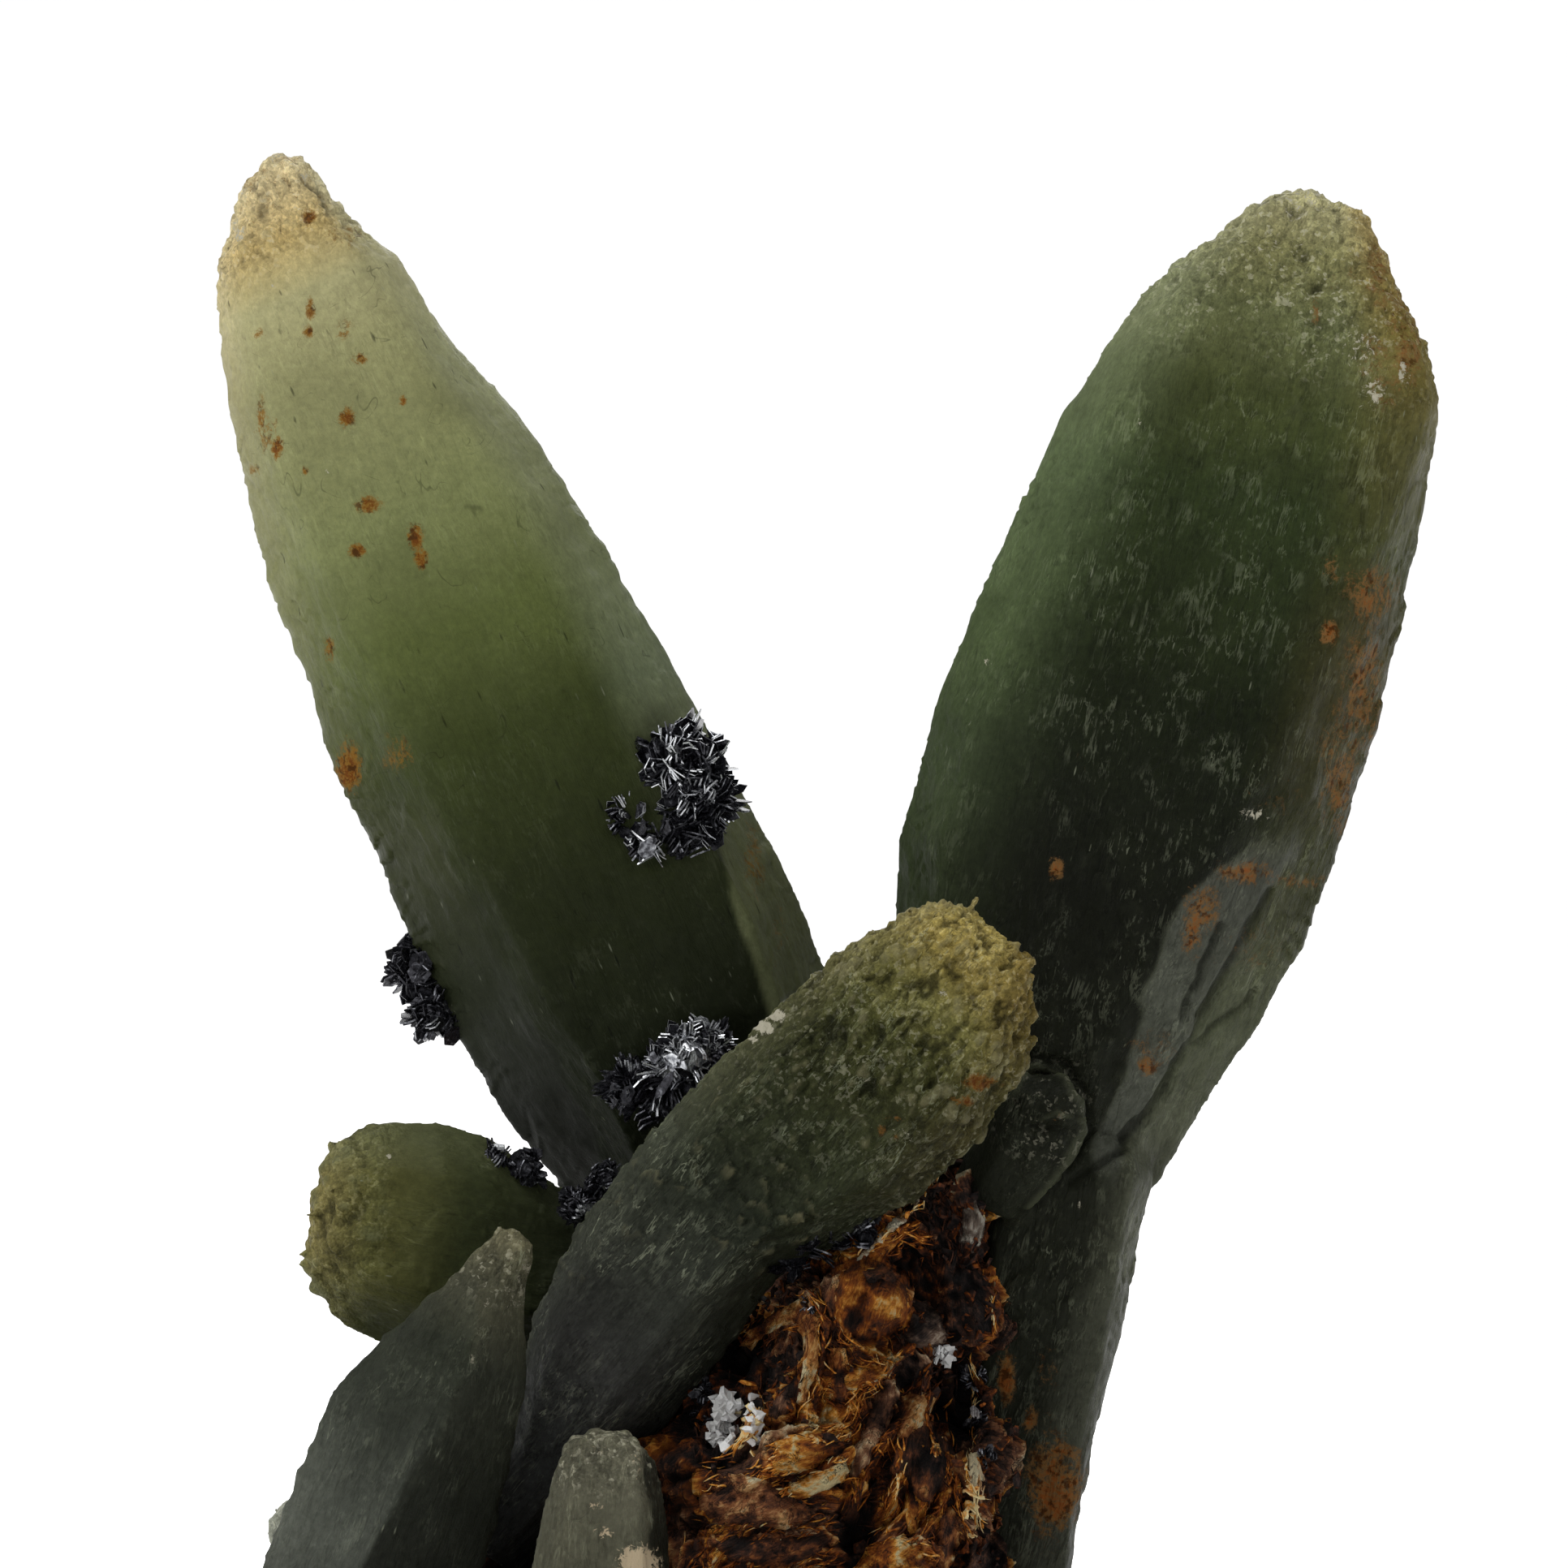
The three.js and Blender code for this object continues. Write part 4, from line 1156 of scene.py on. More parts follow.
def fill_tuft(heap, tuft, rng, settings):
    """Books of plates that stand on edge round the heart, so that their narrow rims face outwards."""
    thickness, gap = settings.blade_thickness / MM, settings.blade_gap / MM
    heart = np.array(tuft.heart) + ORIGIN
    for _ in range(tuft.books):
        outward = unit(random_direction(rng) + 0.7 * np.array(tuft.lean))
        _, direction, normal = axes_for(outward, rng)
        slim = rng.random() > tuft.plates
        leaves = rng.integers(2, 5) if slim else rng.integers(1, 4)
        width = tuft.slim * tuft.radius * (rng.uniform(0.2, 0.6) if slim else rng.uniform(0.5, 0.8))
        reach = tuft.radius * rng.uniform(0.8, 1.0)
        book = heart + rng.normal(size=3) * 0.08 * tuft.radius
        if not slim:
            normal, direction = direction, normal
        # Painted shine: bright rims and faces on some books, dark ones on the rest, for reflections and shade
        shine = rng.random() < tuft.bright
        for leaf in range(leaves):
            place = leaf - leaves / 2
            leaf_direction = unit(direction + 0.06 * place * normal + 0.16 * random_direction(rng))
            leaf_normal = normal - leaf_direction * (normal @ leaf_direction)
            leaf_normal = unit(leaf_normal + 0.2 * random_direction(rng))
            leaf_side = unit(np.cross(leaf_direction, leaf_normal))
            leaf_normal = np.cross(leaf_side, leaf_direction)
            length = reach * rng.uniform(0.5, 0.7)
            end = reach * rng.uniform(0.78, 1.04) - length / 2
            middle = book + outward * end + normal * place * gap + leaf_side * rng.normal() * 0.1 * width
            rim = rng.uniform(0.65, 1.2) if shine else rng.uniform(0.05, 0.5)
            face = rng.uniform(0.0, 0.35) if slim or not shine else rng.uniform(0.3, 1.0)
            sizes = (width * rng.uniform(0.7, 1.2), length, thickness * rng.uniform(0.6, 1.3))
            heap.add(middle, (leaf_side, leaf_direction, leaf_normal), sizes, face, rim=rim)


def make_rose(name, tufts, template, material, seed, settings):
    rng = np.random.default_rng(seed)
    heap = Heap(template)
    for tuft in tufts:
        fill_tuft(heap, tuft, rng, settings)
    finish_piece(heap.build(name + "_blades", "shine"), material, [name])


def hematite_material(name, settings):
    material, nodes, shade = new_material(name)
    # The base colour runs from dark to bright by the painted shine of each blade and rim and by patches:
    # painted reflections and shade
    level = nodes.attribute("shine") * 0.8 + (nodes.noise(nodes.place(), 2.6, 3.0) - 0.5) * 1.1
    stops = (
        (0.0, (*settings.dark, 1)),
        (0.3, (0.05, 0.05, 0.06, 1)),
        (0.52, (0.3, 0.31, 0.34, 1)),
        (0.75, (*settings.bright, 1)),
    )
    lines = nodes.noise(nodes.place((9, 9, 1.2)), 1.0, 3.0)
    shade({
        "Base Color": nodes.ramp(level, stops),
        "Roughness": nodes.span(lines, 0.3, 0.7, 0.16, 0.36),
        "Normal": nodes.bump(lines, 0.3, 0.00004),
        "Metallic": 0.6,
    })
    return material


# The iron-oxide matrix

# (pixel u, pixel v, reach across, reach down, depth in mm) of the cavities, which the crust's material fills
# with painted shade, and of swells below 0
HOLLOWS = (
    (916, 1676, 24, 30, 2.6), (960, 1668, 36, 44, 1.4), (1062, 1884, 28, 40, 3.2), (1182, 1714, 34, 66, 4.4),
    (1010, 1560, 22, 20, 1.2), (1150, 1600, 30, 40, 0.8), (1120, 1700, 20, 30, 1.4),
    (880, 1790, 20, 16, 1.2), (1060, 1598, 56, 52, -2.2), (1000, 1792, 56, 34, -2.0),
    (1100, 1800, 34, 60, -1.2), (1180, 1500, 30, 60, -1.0), (1195, 1620, 26, 30, -1.4),
    (930, 1870, 60, 40, -1.0), (1160, 1420, 18, 24, 1.6), (1196, 1846, 16, 50, -0.8),
)
# (pixel u, pixel v, reach across, reach down, tone) of the crust: 0 black, 0.5 rust, 0.75 gold, 1 cream; the
# near-black spots in the cavities and under the crystals are painted shade
TONES = (
    (1070, 1600, 70, 50, 0.36), (1055, 1680, 50, 50, 0.46), (1000, 1770, 60, 26, 0.5),
    (940, 1580, 50, 40, 0.24), (1170, 1580, 60, 60, 0.14), (1180, 1470, 40, 90, 0.14),
    (1140, 1470, 20, 30, 0.04), (916, 1676, 34, 40, 0.02), (1062, 1884, 34, 50, 0.02),
    (1180, 1715, 44, 66, 0.0), (1115, 1828, 16, 18, 0.0), (930, 1890, 80, 50, 0.35),
    (1120, 1850, 60, 80, 0.34), (1200, 1900, 40, 40, 0.2), (1100, 1520, 40, 24, 0.36),
    (985, 1640, 40, 30, 0.2), (870, 1740, 40, 60, 0.03), (1110, 1740, 40, 40, 0.26),
)


@dataclass
class Leaf:
    """A crumpled leaf of oxide with the outline that the photograph shows, in pixels."""

    points: tuple
    tone: float
    grey: float = 0.0
    lift: float = 0.8  # mm over the crust
    lean: float = 0.0  # degrees from upright of its grain
    rim: float = 0.25  # how much paler its broken edge is


LEAVES = (
    Leaf(((918, 1616), (928, 1580), (945, 1554), (965, 1549), (984, 1566), (987, 1590), (965, 1602),
         (938, 1608)), 0.4, 0.4, 1.2, 60, 0.15),
    Leaf(((1022, 1560), (1050, 1545), (1085, 1543), (1112, 1558), (1128, 1588), (1122, 1622), (1095, 1640),
         (1060, 1652), (1034, 1640), (1018, 1606)), 0.44, 0.0, 1.5, 20, 0.0),
    Leaf(((1050, 1556), (1080, 1548), (1106, 1562), (1114, 1580), (1090, 1576), (1066, 1582)),
         0.24, 0.2, 2.1, 70, 0.1),
    Leaf(((1106, 1642), (1112, 1612), (1136, 1600), (1160, 1606), (1170, 1626), (1162, 1650), (1140, 1657),
         (1118, 1654)), 0.34, 0.85, 1.4, 60, 0.2),
    Leaf(((1160, 1560), (1186, 1548), (1214, 1556), (1226, 1580), (1217, 1602), (1223, 1640), (1200, 1657),
         (1170, 1650), (1152, 1630), (1156, 1590)), 0.24, 0.3, 1.2, -14, 0.55),
    Leaf(((1150, 1540), (1176, 1545), (1186, 1570), (1176, 1600), (1158, 1596), (1146, 1566)),
         0.46, 0.2, 1.8, 10, 0.2),
    Leaf(((912, 1652), (928, 1632), (960, 1609), (990, 1591), (1008, 1600), (1016, 1626), (1010, 1666),
         (999, 1702), (998, 1746), (984, 1746), (983, 1704), (991, 1662), (989, 1634), (974, 1624),
         (950, 1634), (926, 1658)), 0.64, 0.15, 1.5, 30, 0.25),
    Leaf(((936, 1664), (964, 1634), (984, 1640), (986, 1680), (979, 1718), (962, 1746), (945, 1738),
         (941, 1702)), 0.3, 0.55, 0.8, 20, 0.1),
    Leaf(((1179, 1482), (1200, 1478), (1212, 1500), (1209, 1534), (1191, 1546), (1178, 1520)),
         0.5, 1.0, 1.0, 5, 0.3),
    Leaf(((1168, 1474), (1178, 1448), (1194, 1436), (1205, 1470), (1200, 1484), (1180, 1488)),
         0.1, 0.4, 0.8, -5, 0.8),
    Leaf(((1124, 1520), (1130, 1496), (1150, 1490), (1160, 1506), (1152, 1526), (1136, 1530)),
         0.6, 0.5, 1.0, 30, 0.1),
    Leaf(((1046, 1551), (1084, 1509), (1130, 1474), (1135, 1480), (1092, 1518), (1054, 1556)),
         0.9, 0.6, 1.0, -50, 0.1),
    Leaf(((946, 1790), (955, 1764), (985, 1754), (1020, 1749), (1047, 1752), (1048, 1776), (1040, 1792),
         (1010, 1794), (980, 1801), (955, 1806)), 0.66, 0.0, 1.3, 78, 0.1),
    Leaf(((962, 1832), (975, 1809), (1005, 1798), (1040, 1785), (1044, 1801), (1038, 1816), (1010, 1824),
         (985, 1834)), 0.86, 0.0, 1.7, 70, 0.2),
    Leaf(((1046, 1800), (1054, 1768), (1062, 1722), (1080, 1700), (1099, 1690), (1106, 1710), (1096, 1742),
         (1086, 1772), (1068, 1802), (1051, 1834)), 0.42, 0.5, 1.2, 20, 0.25),
    Leaf(((1028, 1692), (1050, 1671), (1088, 1675), (1093, 1690), (1065, 1701), (1040, 1704)),
         0.58, 0.0, 1.4, 80, 0.2),
    Leaf(((1024, 1650), (1040, 1655), (1048, 1690), (1040, 1740), (1026, 1738), (1020, 1690)),
         0.4, 0.1, 0.9, -10, 0.2),
    Leaf(((1096, 1668), (1125, 1655), (1150, 1670), (1140, 1700), (1116, 1716), (1098, 1700)),
         0.3, 0.6, 0.9, -30, 0.25),
    Leaf(((1100, 1722), (1130, 1706), (1158, 1712), (1140, 1745), (1112, 1770), (1098, 1752)),
         0.5, 0.2, 1.2, 40, 0.25),
    Leaf(((1102, 1764), (1132, 1742), (1165, 1750), (1176, 1790), (1160, 1832), (1140, 1850), (1110, 1830),
         (1096, 1800)), 0.26, 0.2, 1.0, 10, 0.15),
    Leaf(((1110, 1826), (1128, 1812), (1136, 1840), (1130, 1880), (1116, 1886), (1108, 1856)),
         0.66, 0.0, 1.6, 5, 0.15),
    Leaf(((1167, 1786), (1184, 1780), (1195, 1800), (1190, 1830), (1175, 1838), (1166, 1816)),
         0.72, 0.2, 1.2, 5, 0.1),
    Leaf(((1191, 1786), (1204, 1782), (1211, 1820), (1210, 1866), (1199, 1862), (1194, 1826)),
         0.98, 0.3, 1.2, 5, 0.1),
    Leaf(((1178, 1892), (1200, 1876), (1234, 1886), (1243, 1932), (1226, 1956), (1180, 1956)),
         0.22, 0.5, 0.8, 30, 0.15),
    Leaf(((1046, 1926), (1074, 1890), (1108, 1878), (1140, 1898), (1156, 1930), (1130, 1950), (1070, 1950)),
         0.6, 0.0, 1.3, 60, 0.25),
    Leaf(((1150, 1850), (1168, 1842), (1182, 1866), (1176, 1910), (1160, 1930), (1146, 1900)),
         0.4, 0.2, 1.0, 8, 0.25),
    Leaf(((862, 1832), (900, 1802), (950, 1810), (990, 1836), (1004, 1860), (960, 1872), (900, 1868),
         (866, 1862)), 0.42, 0.3, 0.9, 62, 0.25),
    Leaf(((858, 1880), (900, 1872), (960, 1874), (1012, 1866), (1034, 1884), (1010, 1910), (960, 1918),
         (900, 1916)), 0.4, 0.2, 1.1, 66, 0.25),
    Leaf(((850, 1932), (890, 1918), (950, 1922), (1010, 1914), (1036, 1926), (1030, 1956), (940, 1966),
         (860, 1966)), 0.34, 0.2, 0.9, 60, 0.25),
)
LEAF_CELL = 4.0  # pixels
LEAF_THICKNESS = 0.4


@dataclass
class Bundle:
    """A bundle of fibres that follows pixels of the photograph over the crust."""

    points: tuple
    width: tuple  # pixels across at its start and end
    count: int
    tone: float
    lift: float = 0.5  # mm over the crust
    stout: float = 1.0


BUNDLES = (
    Bundle(((1030, 1650), (1036, 1610), (1060, 1580), (1100, 1600)), (26, 30), 40, 0.5, 0.6),
    Bundle(((915, 1642), (942, 1618), (992, 1592), (1012, 1614), (1008, 1676), (996, 1738)), (12, 14),
           70, 0.66, 0.8),
    Bundle(((930, 1650), (975, 1615), (1000, 1640), (990, 1700)), (22, 22), 50, 0.45, 0.4),
    Bundle(((1028, 1652), (1060, 1672), (1085, 1688), (1100, 1720)), (30, 26), 70, 0.58, 0.8),
    Bundle(((1040, 1735), (1060, 1705), (1088, 1690), (1110, 1660)), (24, 20), 50, 0.6, 0.8),
    Bundle(((1020, 1690), (1040, 1700), (1060, 1725), (1050, 1760)), (24, 20), 46, 0.52, 0.6),
    Bundle(((872, 1818), (920, 1805), (975, 1785), (1040, 1756)), (30, 20), 120, 0.7, 0.7),
    Bundle(((930, 1842), (970, 1826), (1008, 1810), (1038, 1790)), (16, 12), 80, 0.84, 0.9),
    Bundle(((945, 1775), (985, 1760), (1043, 1748)), (12, 10), 46, 0.6, 0.8),
    Bundle(((862, 1850), (905, 1838), (960, 1832), (1020, 1836)), (30, 24), 80, 0.5, 0.5),
    Bundle(((858, 1925), (890, 1890), (930, 1860), (985, 1850)), (40, 30), 110, 0.46, 0.6),
    Bundle(((900, 1932), (930, 1900), (975, 1880), (1030, 1868)), (40, 26), 100, 0.5, 0.6),
    Bundle(((960, 1932), (990, 1910), (1030, 1900)), (30, 20), 50, 0.52, 0.5),
    Bundle(((1152, 1714), (1130, 1740), (1090, 1764), (1062, 1800), (1052, 1846)), (14, 16), 70, 0.5, 0.8),
    Bundle(((1140, 1736), (1150, 1780), (1140, 1826), (1112, 1868), (1078, 1895)), (14, 18), 80, 0.62, 0.9),
    Bundle(((1165, 1760), (1168, 1810), (1150, 1860), (1120, 1900), (1100, 1932)), (14, 16), 70, 0.5, 0.7),
    Bundle(((1060, 1932), (1085, 1902), (1118, 1892), (1150, 1905)), (12, 12), 50, 0.72, 0.7),
    Bundle(((1050, 1960), (1075, 1925), (1115, 1912), (1150, 1930)), (12, 12), 50, 0.58, 0.7),
    Bundle(((1105, 1760), (1112, 1800), (1096, 1845)), (16, 16), 46, 0.66, 0.7),
    Bundle(((1048, 1545), (1090, 1514), (1132, 1476), (1160, 1436)), (7, 5), 46, 0.92, 0.7),
    Bundle(((1080, 1535), (1110, 1515), (1140, 1520)), (18, 14), 40, 0.6, 0.5),
    Bundle(((1206, 1405), (1212, 1450), (1212, 1500)), (6, 5), 30, 0.9, 0.5, 0.8),
    Bundle(((1140, 1460), (1150, 1510), (1170, 1560)), (26, 26), 50, 0.2, 0.5),
    Bundle(((1180, 1480), (1190, 1540), (1180, 1600)), (26, 26), 50, 0.26, 0.5),
    Bundle(((1202, 1560), (1212, 1600), (1220, 1644)), (12, 6), 36, 0.5, 0.8),
    Bundle(((1214, 1570), (1222, 1610), (1224, 1646)), (3, 3), 12, 0.92, 0.8, 0.8),
    Bundle(((1130, 1620), (1165, 1640), (1215, 1645)), (12, 8), 40, 0.4, 0.6),
    Bundle(((1194, 1668), (1200, 1710), (1196, 1770)), (5, 4), 24, 0.8, 0.4, 0.6),
    Bundle(((1186, 1790), (1196, 1830), (1204, 1872)), (8, 6), 50, 0.9, 0.8),
    Bundle(((1174, 1800), (1180, 1850), (1196, 1890)), (10, 12), 40, 0.6, 0.6),
    Bundle(((905, 1775), (925, 1755), (940, 1720)), (10, 8), 40, 0.8, 0.8),
    Bundle(((1120, 1620), (1140, 1670), (1130, 1710)), (20, 20), 50, 0.34, 0.5),
)
BUNDLE_STATIONS, LINE_STATIONS = 40, 60  # places along a bundle, for the crust under it and for its fibres
BUNDLE_WINDOW = (-14, 16, 15)  # mm: left, right and low limit of the bundles
FIBRE_STATIONS, LOOSE_STATIONS = 5, 7  # places along a fibre of a bundle and along a loose one
FIBRE_CROWD = 0.9
LOOSE_FIBRES = 700
FINE_WINDOW = (850, 1250, 1380)  # pixels: left, right and upper limit of the crust with smaller faces
FINE_BACK, FINE_FOOT = -2, 17  # mm: how far back and how low it reaches
CRUST_SEED, TONE_SEED, GREY_SEED, FLOW_SEED = 71, 83, 187, 91
LEAVES_SEED, FIBRES_SEED, SHARDS_SEED = 300, 97, 113
PACKET = 4.6  # size in mm of the packets of fibres that the crust is folded into


def packets(places, seed):
    """The flow across, along and through the packet of fibres at each place, and its edge and number."""
    bent = places + 1.6 * noise3(places / 4, seed)
    distance, offset, number = cells(bent / PACKET, seed + 15)
    none = 0 * number
    lean = [hashed(np.column_stack([number * 1e6, none, none + axis]), seed) - 0.5 for axis in range(3)]
    lean = unit_rows(np.column_stack(lean) + np.array((0, 0, 0.35)))
    side = unit_rows(np.cross(lean, np.array((0.3, 0.9, 0.2))))
    through = np.cross(lean, side)
    flow = [np.einsum("ij,ij->i", offset * PACKET, axis) for axis in (side, lean, through)]
    return np.column_stack(flow) + number[:, None] * 60, smoothstep(0.35, 0.8, distance), number


def drawn_flow(places, normals):
    """The same where a drawn bundle passes: across, along and its number, with its fold, share and tone."""
    flow = np.zeros_like(places)
    fold, share, tone = (np.zeros(len(places)) for _ in range(3))
    left, right, foot = BUNDLE_WINDOW
    x, _, z = places.T
    window = np.nonzero((normals[:, 1] < 0.6) & (z > foot) & (x > left) & (x < right))[0]
    best = np.full(len(window), FAR)
    here = places[window][:, [0, 2]]
    row = np.arange(len(here))
    for number, bundle in enumerate(BUNDLES):
        line = curve_through(bundle.points, BUNDLE_STATIONS)
        line = np.column_stack(photo_place(line[:, 0], line[:, 1]))
        reach = np.concatenate([[0], np.cumsum(np.linalg.norm(np.diff(line, axis=0), axis=1))])
        away = here[:, None, :] - line[None]
        distance = np.linalg.norm(away, axis=2)
        nearest = distance.argmin(axis=1)
        half = np.linspace(*bundle.width, BUNDLE_STATIONS)[nearest] / PIXELS_PER_MM * 0.75
        ratio = distance[row, nearest] / half
        closer = ratio < best
        best[closer] = ratio[closer]
        tangent = unit_rows(np.gradient(line, axis=0)[nearest])
        vector = away[row, nearest]
        across = vector[:, 0] * tangent[:, 1] - vector[:, 1] * tangent[:, 0]
        chosen = window[closer]
        flow[chosen] = np.column_stack([across, reach[nearest], np.full(len(here), 3.7 * number)])[closer]
        fold[chosen] = bundle.lift * np.clip(1 - ratio[closer] ** 2, -0.3, 1)
        share[chosen] = smoothstep(1.5, 0.8, ratio[closer])
        tone[chosen] = bundle.tone
    return flow, fold, share, tone


def crumpled(places, flow, seed):
    """Crumpled, frayed flakes: their height from 0 to 1, and how near each place is to a broken edge."""
    ragged = noise3(places / 0.8, seed + 3)
    bent = places + noise3(places / 2.2, seed) + 0.4 * ragged
    broad = 1 - np.abs(noise(bent / 2.6, seed + 6))
    fine = 1 - np.abs(noise(flow / np.array((0.55, 1.5, 0.55)) + 0.5 * ragged, seed + 7))
    return 0.6 * broad**3 + 0.4 * fine**3, np.maximum(broad**9, 0.8 * fine**7)


def matrix_relief(places, height, edge, number, seed):
    """Folded, crumpled crusts: the height of the matrix's surface in mm."""
    bent = places + 2.4 * noise3(places / 5, seed)
    folds = ridged(bent / 6.5, seed + 3, 3) - 0.75
    return 1.9 * folds + 1.3 * (height - 0.4) + 1.3 * (number - 0.5) - 0.7 * edge - 0.2


def front_spots(places, normals, spots):
    """How strongly each spot of the photograph acts on each place of the front: places by spots."""
    front = smoothstep(0.5, -0.1, normals[:, 1])
    weights = []
    for *spot, _ in spots:
        across, down = from_spot(places, *spot)
        weights.append(front * np.exp(-1.2 * (across**2 + down**2)))
    return np.array(weights).T


def refine_window(piece):
    """Gives the crust that shows between the crystals smaller faces than the rest."""
    faces = piece.data.polygons
    x, y, z = (read_vectors(faces, "center") / MM).T
    low_u, high_u, high_v = FINE_WINDOW
    low_x, high_z = photo_place(low_u, high_v)
    high_x, _ = photo_place(high_u, high_v)
    inside = (x > low_x) & (x < high_x) & (y < FINE_BACK) & (z > FINE_FOOT) & (z < high_z)
    activate(piece)
    bpy.ops.object.mode_set(mode="EDIT")
    bpy.ops.mesh.select_mode(type="FACE")
    bpy.ops.mesh.select_all(action="DESELECT")
    bpy.ops.object.mode_set(mode="OBJECT")
    faces.foreach_set("select", inside)
    bpy.ops.object.mode_set(mode="EDIT")
    bpy.ops.mesh.subdivide(number_cuts=2)
    bpy.ops.object.mode_set(mode="OBJECT")


def crust_tone(places, normals, number, share, line_tone):
    """The drawn colours where the photograph shows them, chance elsewhere, and a bundle's own on it."""
    wild = 0.34 + 0.2 * fractal(places / 7, TONE_SEED, 3) + 0.2 * (number - 0.5)
    weights = front_spots(places, normals, TONES)
    shares = weights.sum(axis=1)
    drawn = weights @ np.array([spot[4] for spot in TONES]) / np.maximum(shares, 1e-6)
    known = np.clip(shares * 1.6, 0, 1)
    tone = drawn * known + wild * (1 - known)
    return tone * (1 - 0.35 * share) + 0.35 * share * line_tone


def make_matrix(material, settings):
    piece = copy_of_node("matrix", "matrix_surface")
    remeshed(piece, settings.crust_detail / MM)
    apply_modifier(piece, "SMOOTH", factor=0.5, iterations=4)
    refine_window(piece)
    places, normals = places_mm(piece), normals_of(piece)
    flow, edge, number = packets(places, CRUST_SEED)
    line_flow, fold, share, line_tone = drawn_flow(places, normals)
    flow = np.where((share > 0.5)[:, None], line_flow, flow)
    edge, number = edge * (1 - share), number * (1 - share) + 0.5 * share
    height, crest = crumpled(places, flow, CRUST_SEED + 100)
    relief = matrix_relief(places, height, edge, number, CRUST_SEED) + 1.2 * fold * share
    relief -= front_spots(places, normals, HOLLOWS) @ np.array([spot[4] for spot in HOLLOWS])
    relief = relief * smoothstep(0.0, 2.5, places[:, 2]) * smoothstep(-0.95, -0.6, normals[:, 2])
    moved = places + normals * relief[:, None]
    moved[:, 2] = np.maximum(moved[:, 2], 0)
    moved[places[:, 2] < 0.25, 2] = 0
    put_places(piece, moved)
    put_attributes(
        piece,
        # Lighter on the raised crumples and darker in their creases: painted light and shade
        tone=crust_tone(places, normals, number, share, line_tone) + 0.4 * (height - 0.4) + 0.3 * crest,
        grey=smoothstep(-0.1, 0.5, noise(places / 3.5, GREY_SEED)) * 0.5,
        relief=relief,
        sawn=smoothstep(0.5, 0.1, places[:, 2]),
    )
    put_vector(piece, "flow", flow)
    finish_piece(piece, material, ["matrix"])


def outline_distance(pixels, outline):
    """How far each pixel lies inside an outline, below 0 outside it, and the nearest place on it."""
    following = np.roll(outline, -1, axis=0)
    edge = following - outline
    away = pixels[:, None] - outline[None]
    share = np.clip((away * edge).sum(2) / (edge**2).sum(1), 0, 1)
    nearest = outline[None] + share[..., None] * edge[None]
    distance = np.linalg.norm(pixels[:, None] - nearest, axis=2)
    closest = distance.argmin(axis=1)
    row = np.arange(len(pixels))
    v = pixels[:, None, 1]
    crossed = (outline[:, 1] > v) != (following[:, 1] > v)
    reach = outline[:, 0] + (v - outline[:, 1]) * edge[:, 0] / np.where(edge[:, 1] == 0, 1e-9, edge[:, 1])
    inside = (crossed & (pixels[:, None, 0] < reach)).sum(axis=1) % 2 == 1
    return np.where(inside, 1, -1) * distance[row, closest], nearest[row, closest]


def frayed_outline(points, seed):
    """The outline in short steps, with ragged edges."""
    corners = np.array(points, float)
    path = []
    for start, end in zip(corners, np.roll(corners, -1, axis=0)):
        steps = max(1, int(np.linalg.norm(end - start) / 4))
        path += [start + (end - start) * i / steps for i in range(steps)]
    path = np.array(path)
    flat = np.column_stack([path / 6, np.zeros(len(path))])
    return path + 3.2 * np.column_stack([noise(flat, seed), noise(flat, seed + 1)])


def leaf_depth(tree, pixels, inner, rows, columns):
    """How far back the crust lies behind each pixel of a leaf's grid, smoothed."""
    near = inner > -1.5 * LEAF_CELL
    hits = [front_hit(tree, *pixel)[0] if close else None for pixel, close in zip(pixels, near)]
    known = np.array([hit is not None for hit in hits])
    depth = np.array([hit[1] if hit is not None else 0 for hit in hits])
    depth[~known] = np.median(depth[known])
    sheet = depth.reshape(rows, columns)
    for _ in range(10):
        padded = np.pad(sheet, 1, mode="edge")
        sheet = (padded[:-2, 1:-1] + padded[2:, 1:-1] + padded[1:-1, :-2] + padded[1:-1, 2:] + 2 * sheet) / 6
    return sheet.ravel()


def leaf_squares(inner, rows, columns):
    """The squares of a leaf's grid that reach inside its outline."""
    squares = []
    for j in range(rows - 1):
        for i in range(columns - 1):
            here, below = j * columns + i, (j + 1) * columns + i
            corners = [here, here + 1, below + 1, below]
            if max(inner[c] for c in corners) > 0:
                squares.append(corners)
    return squares


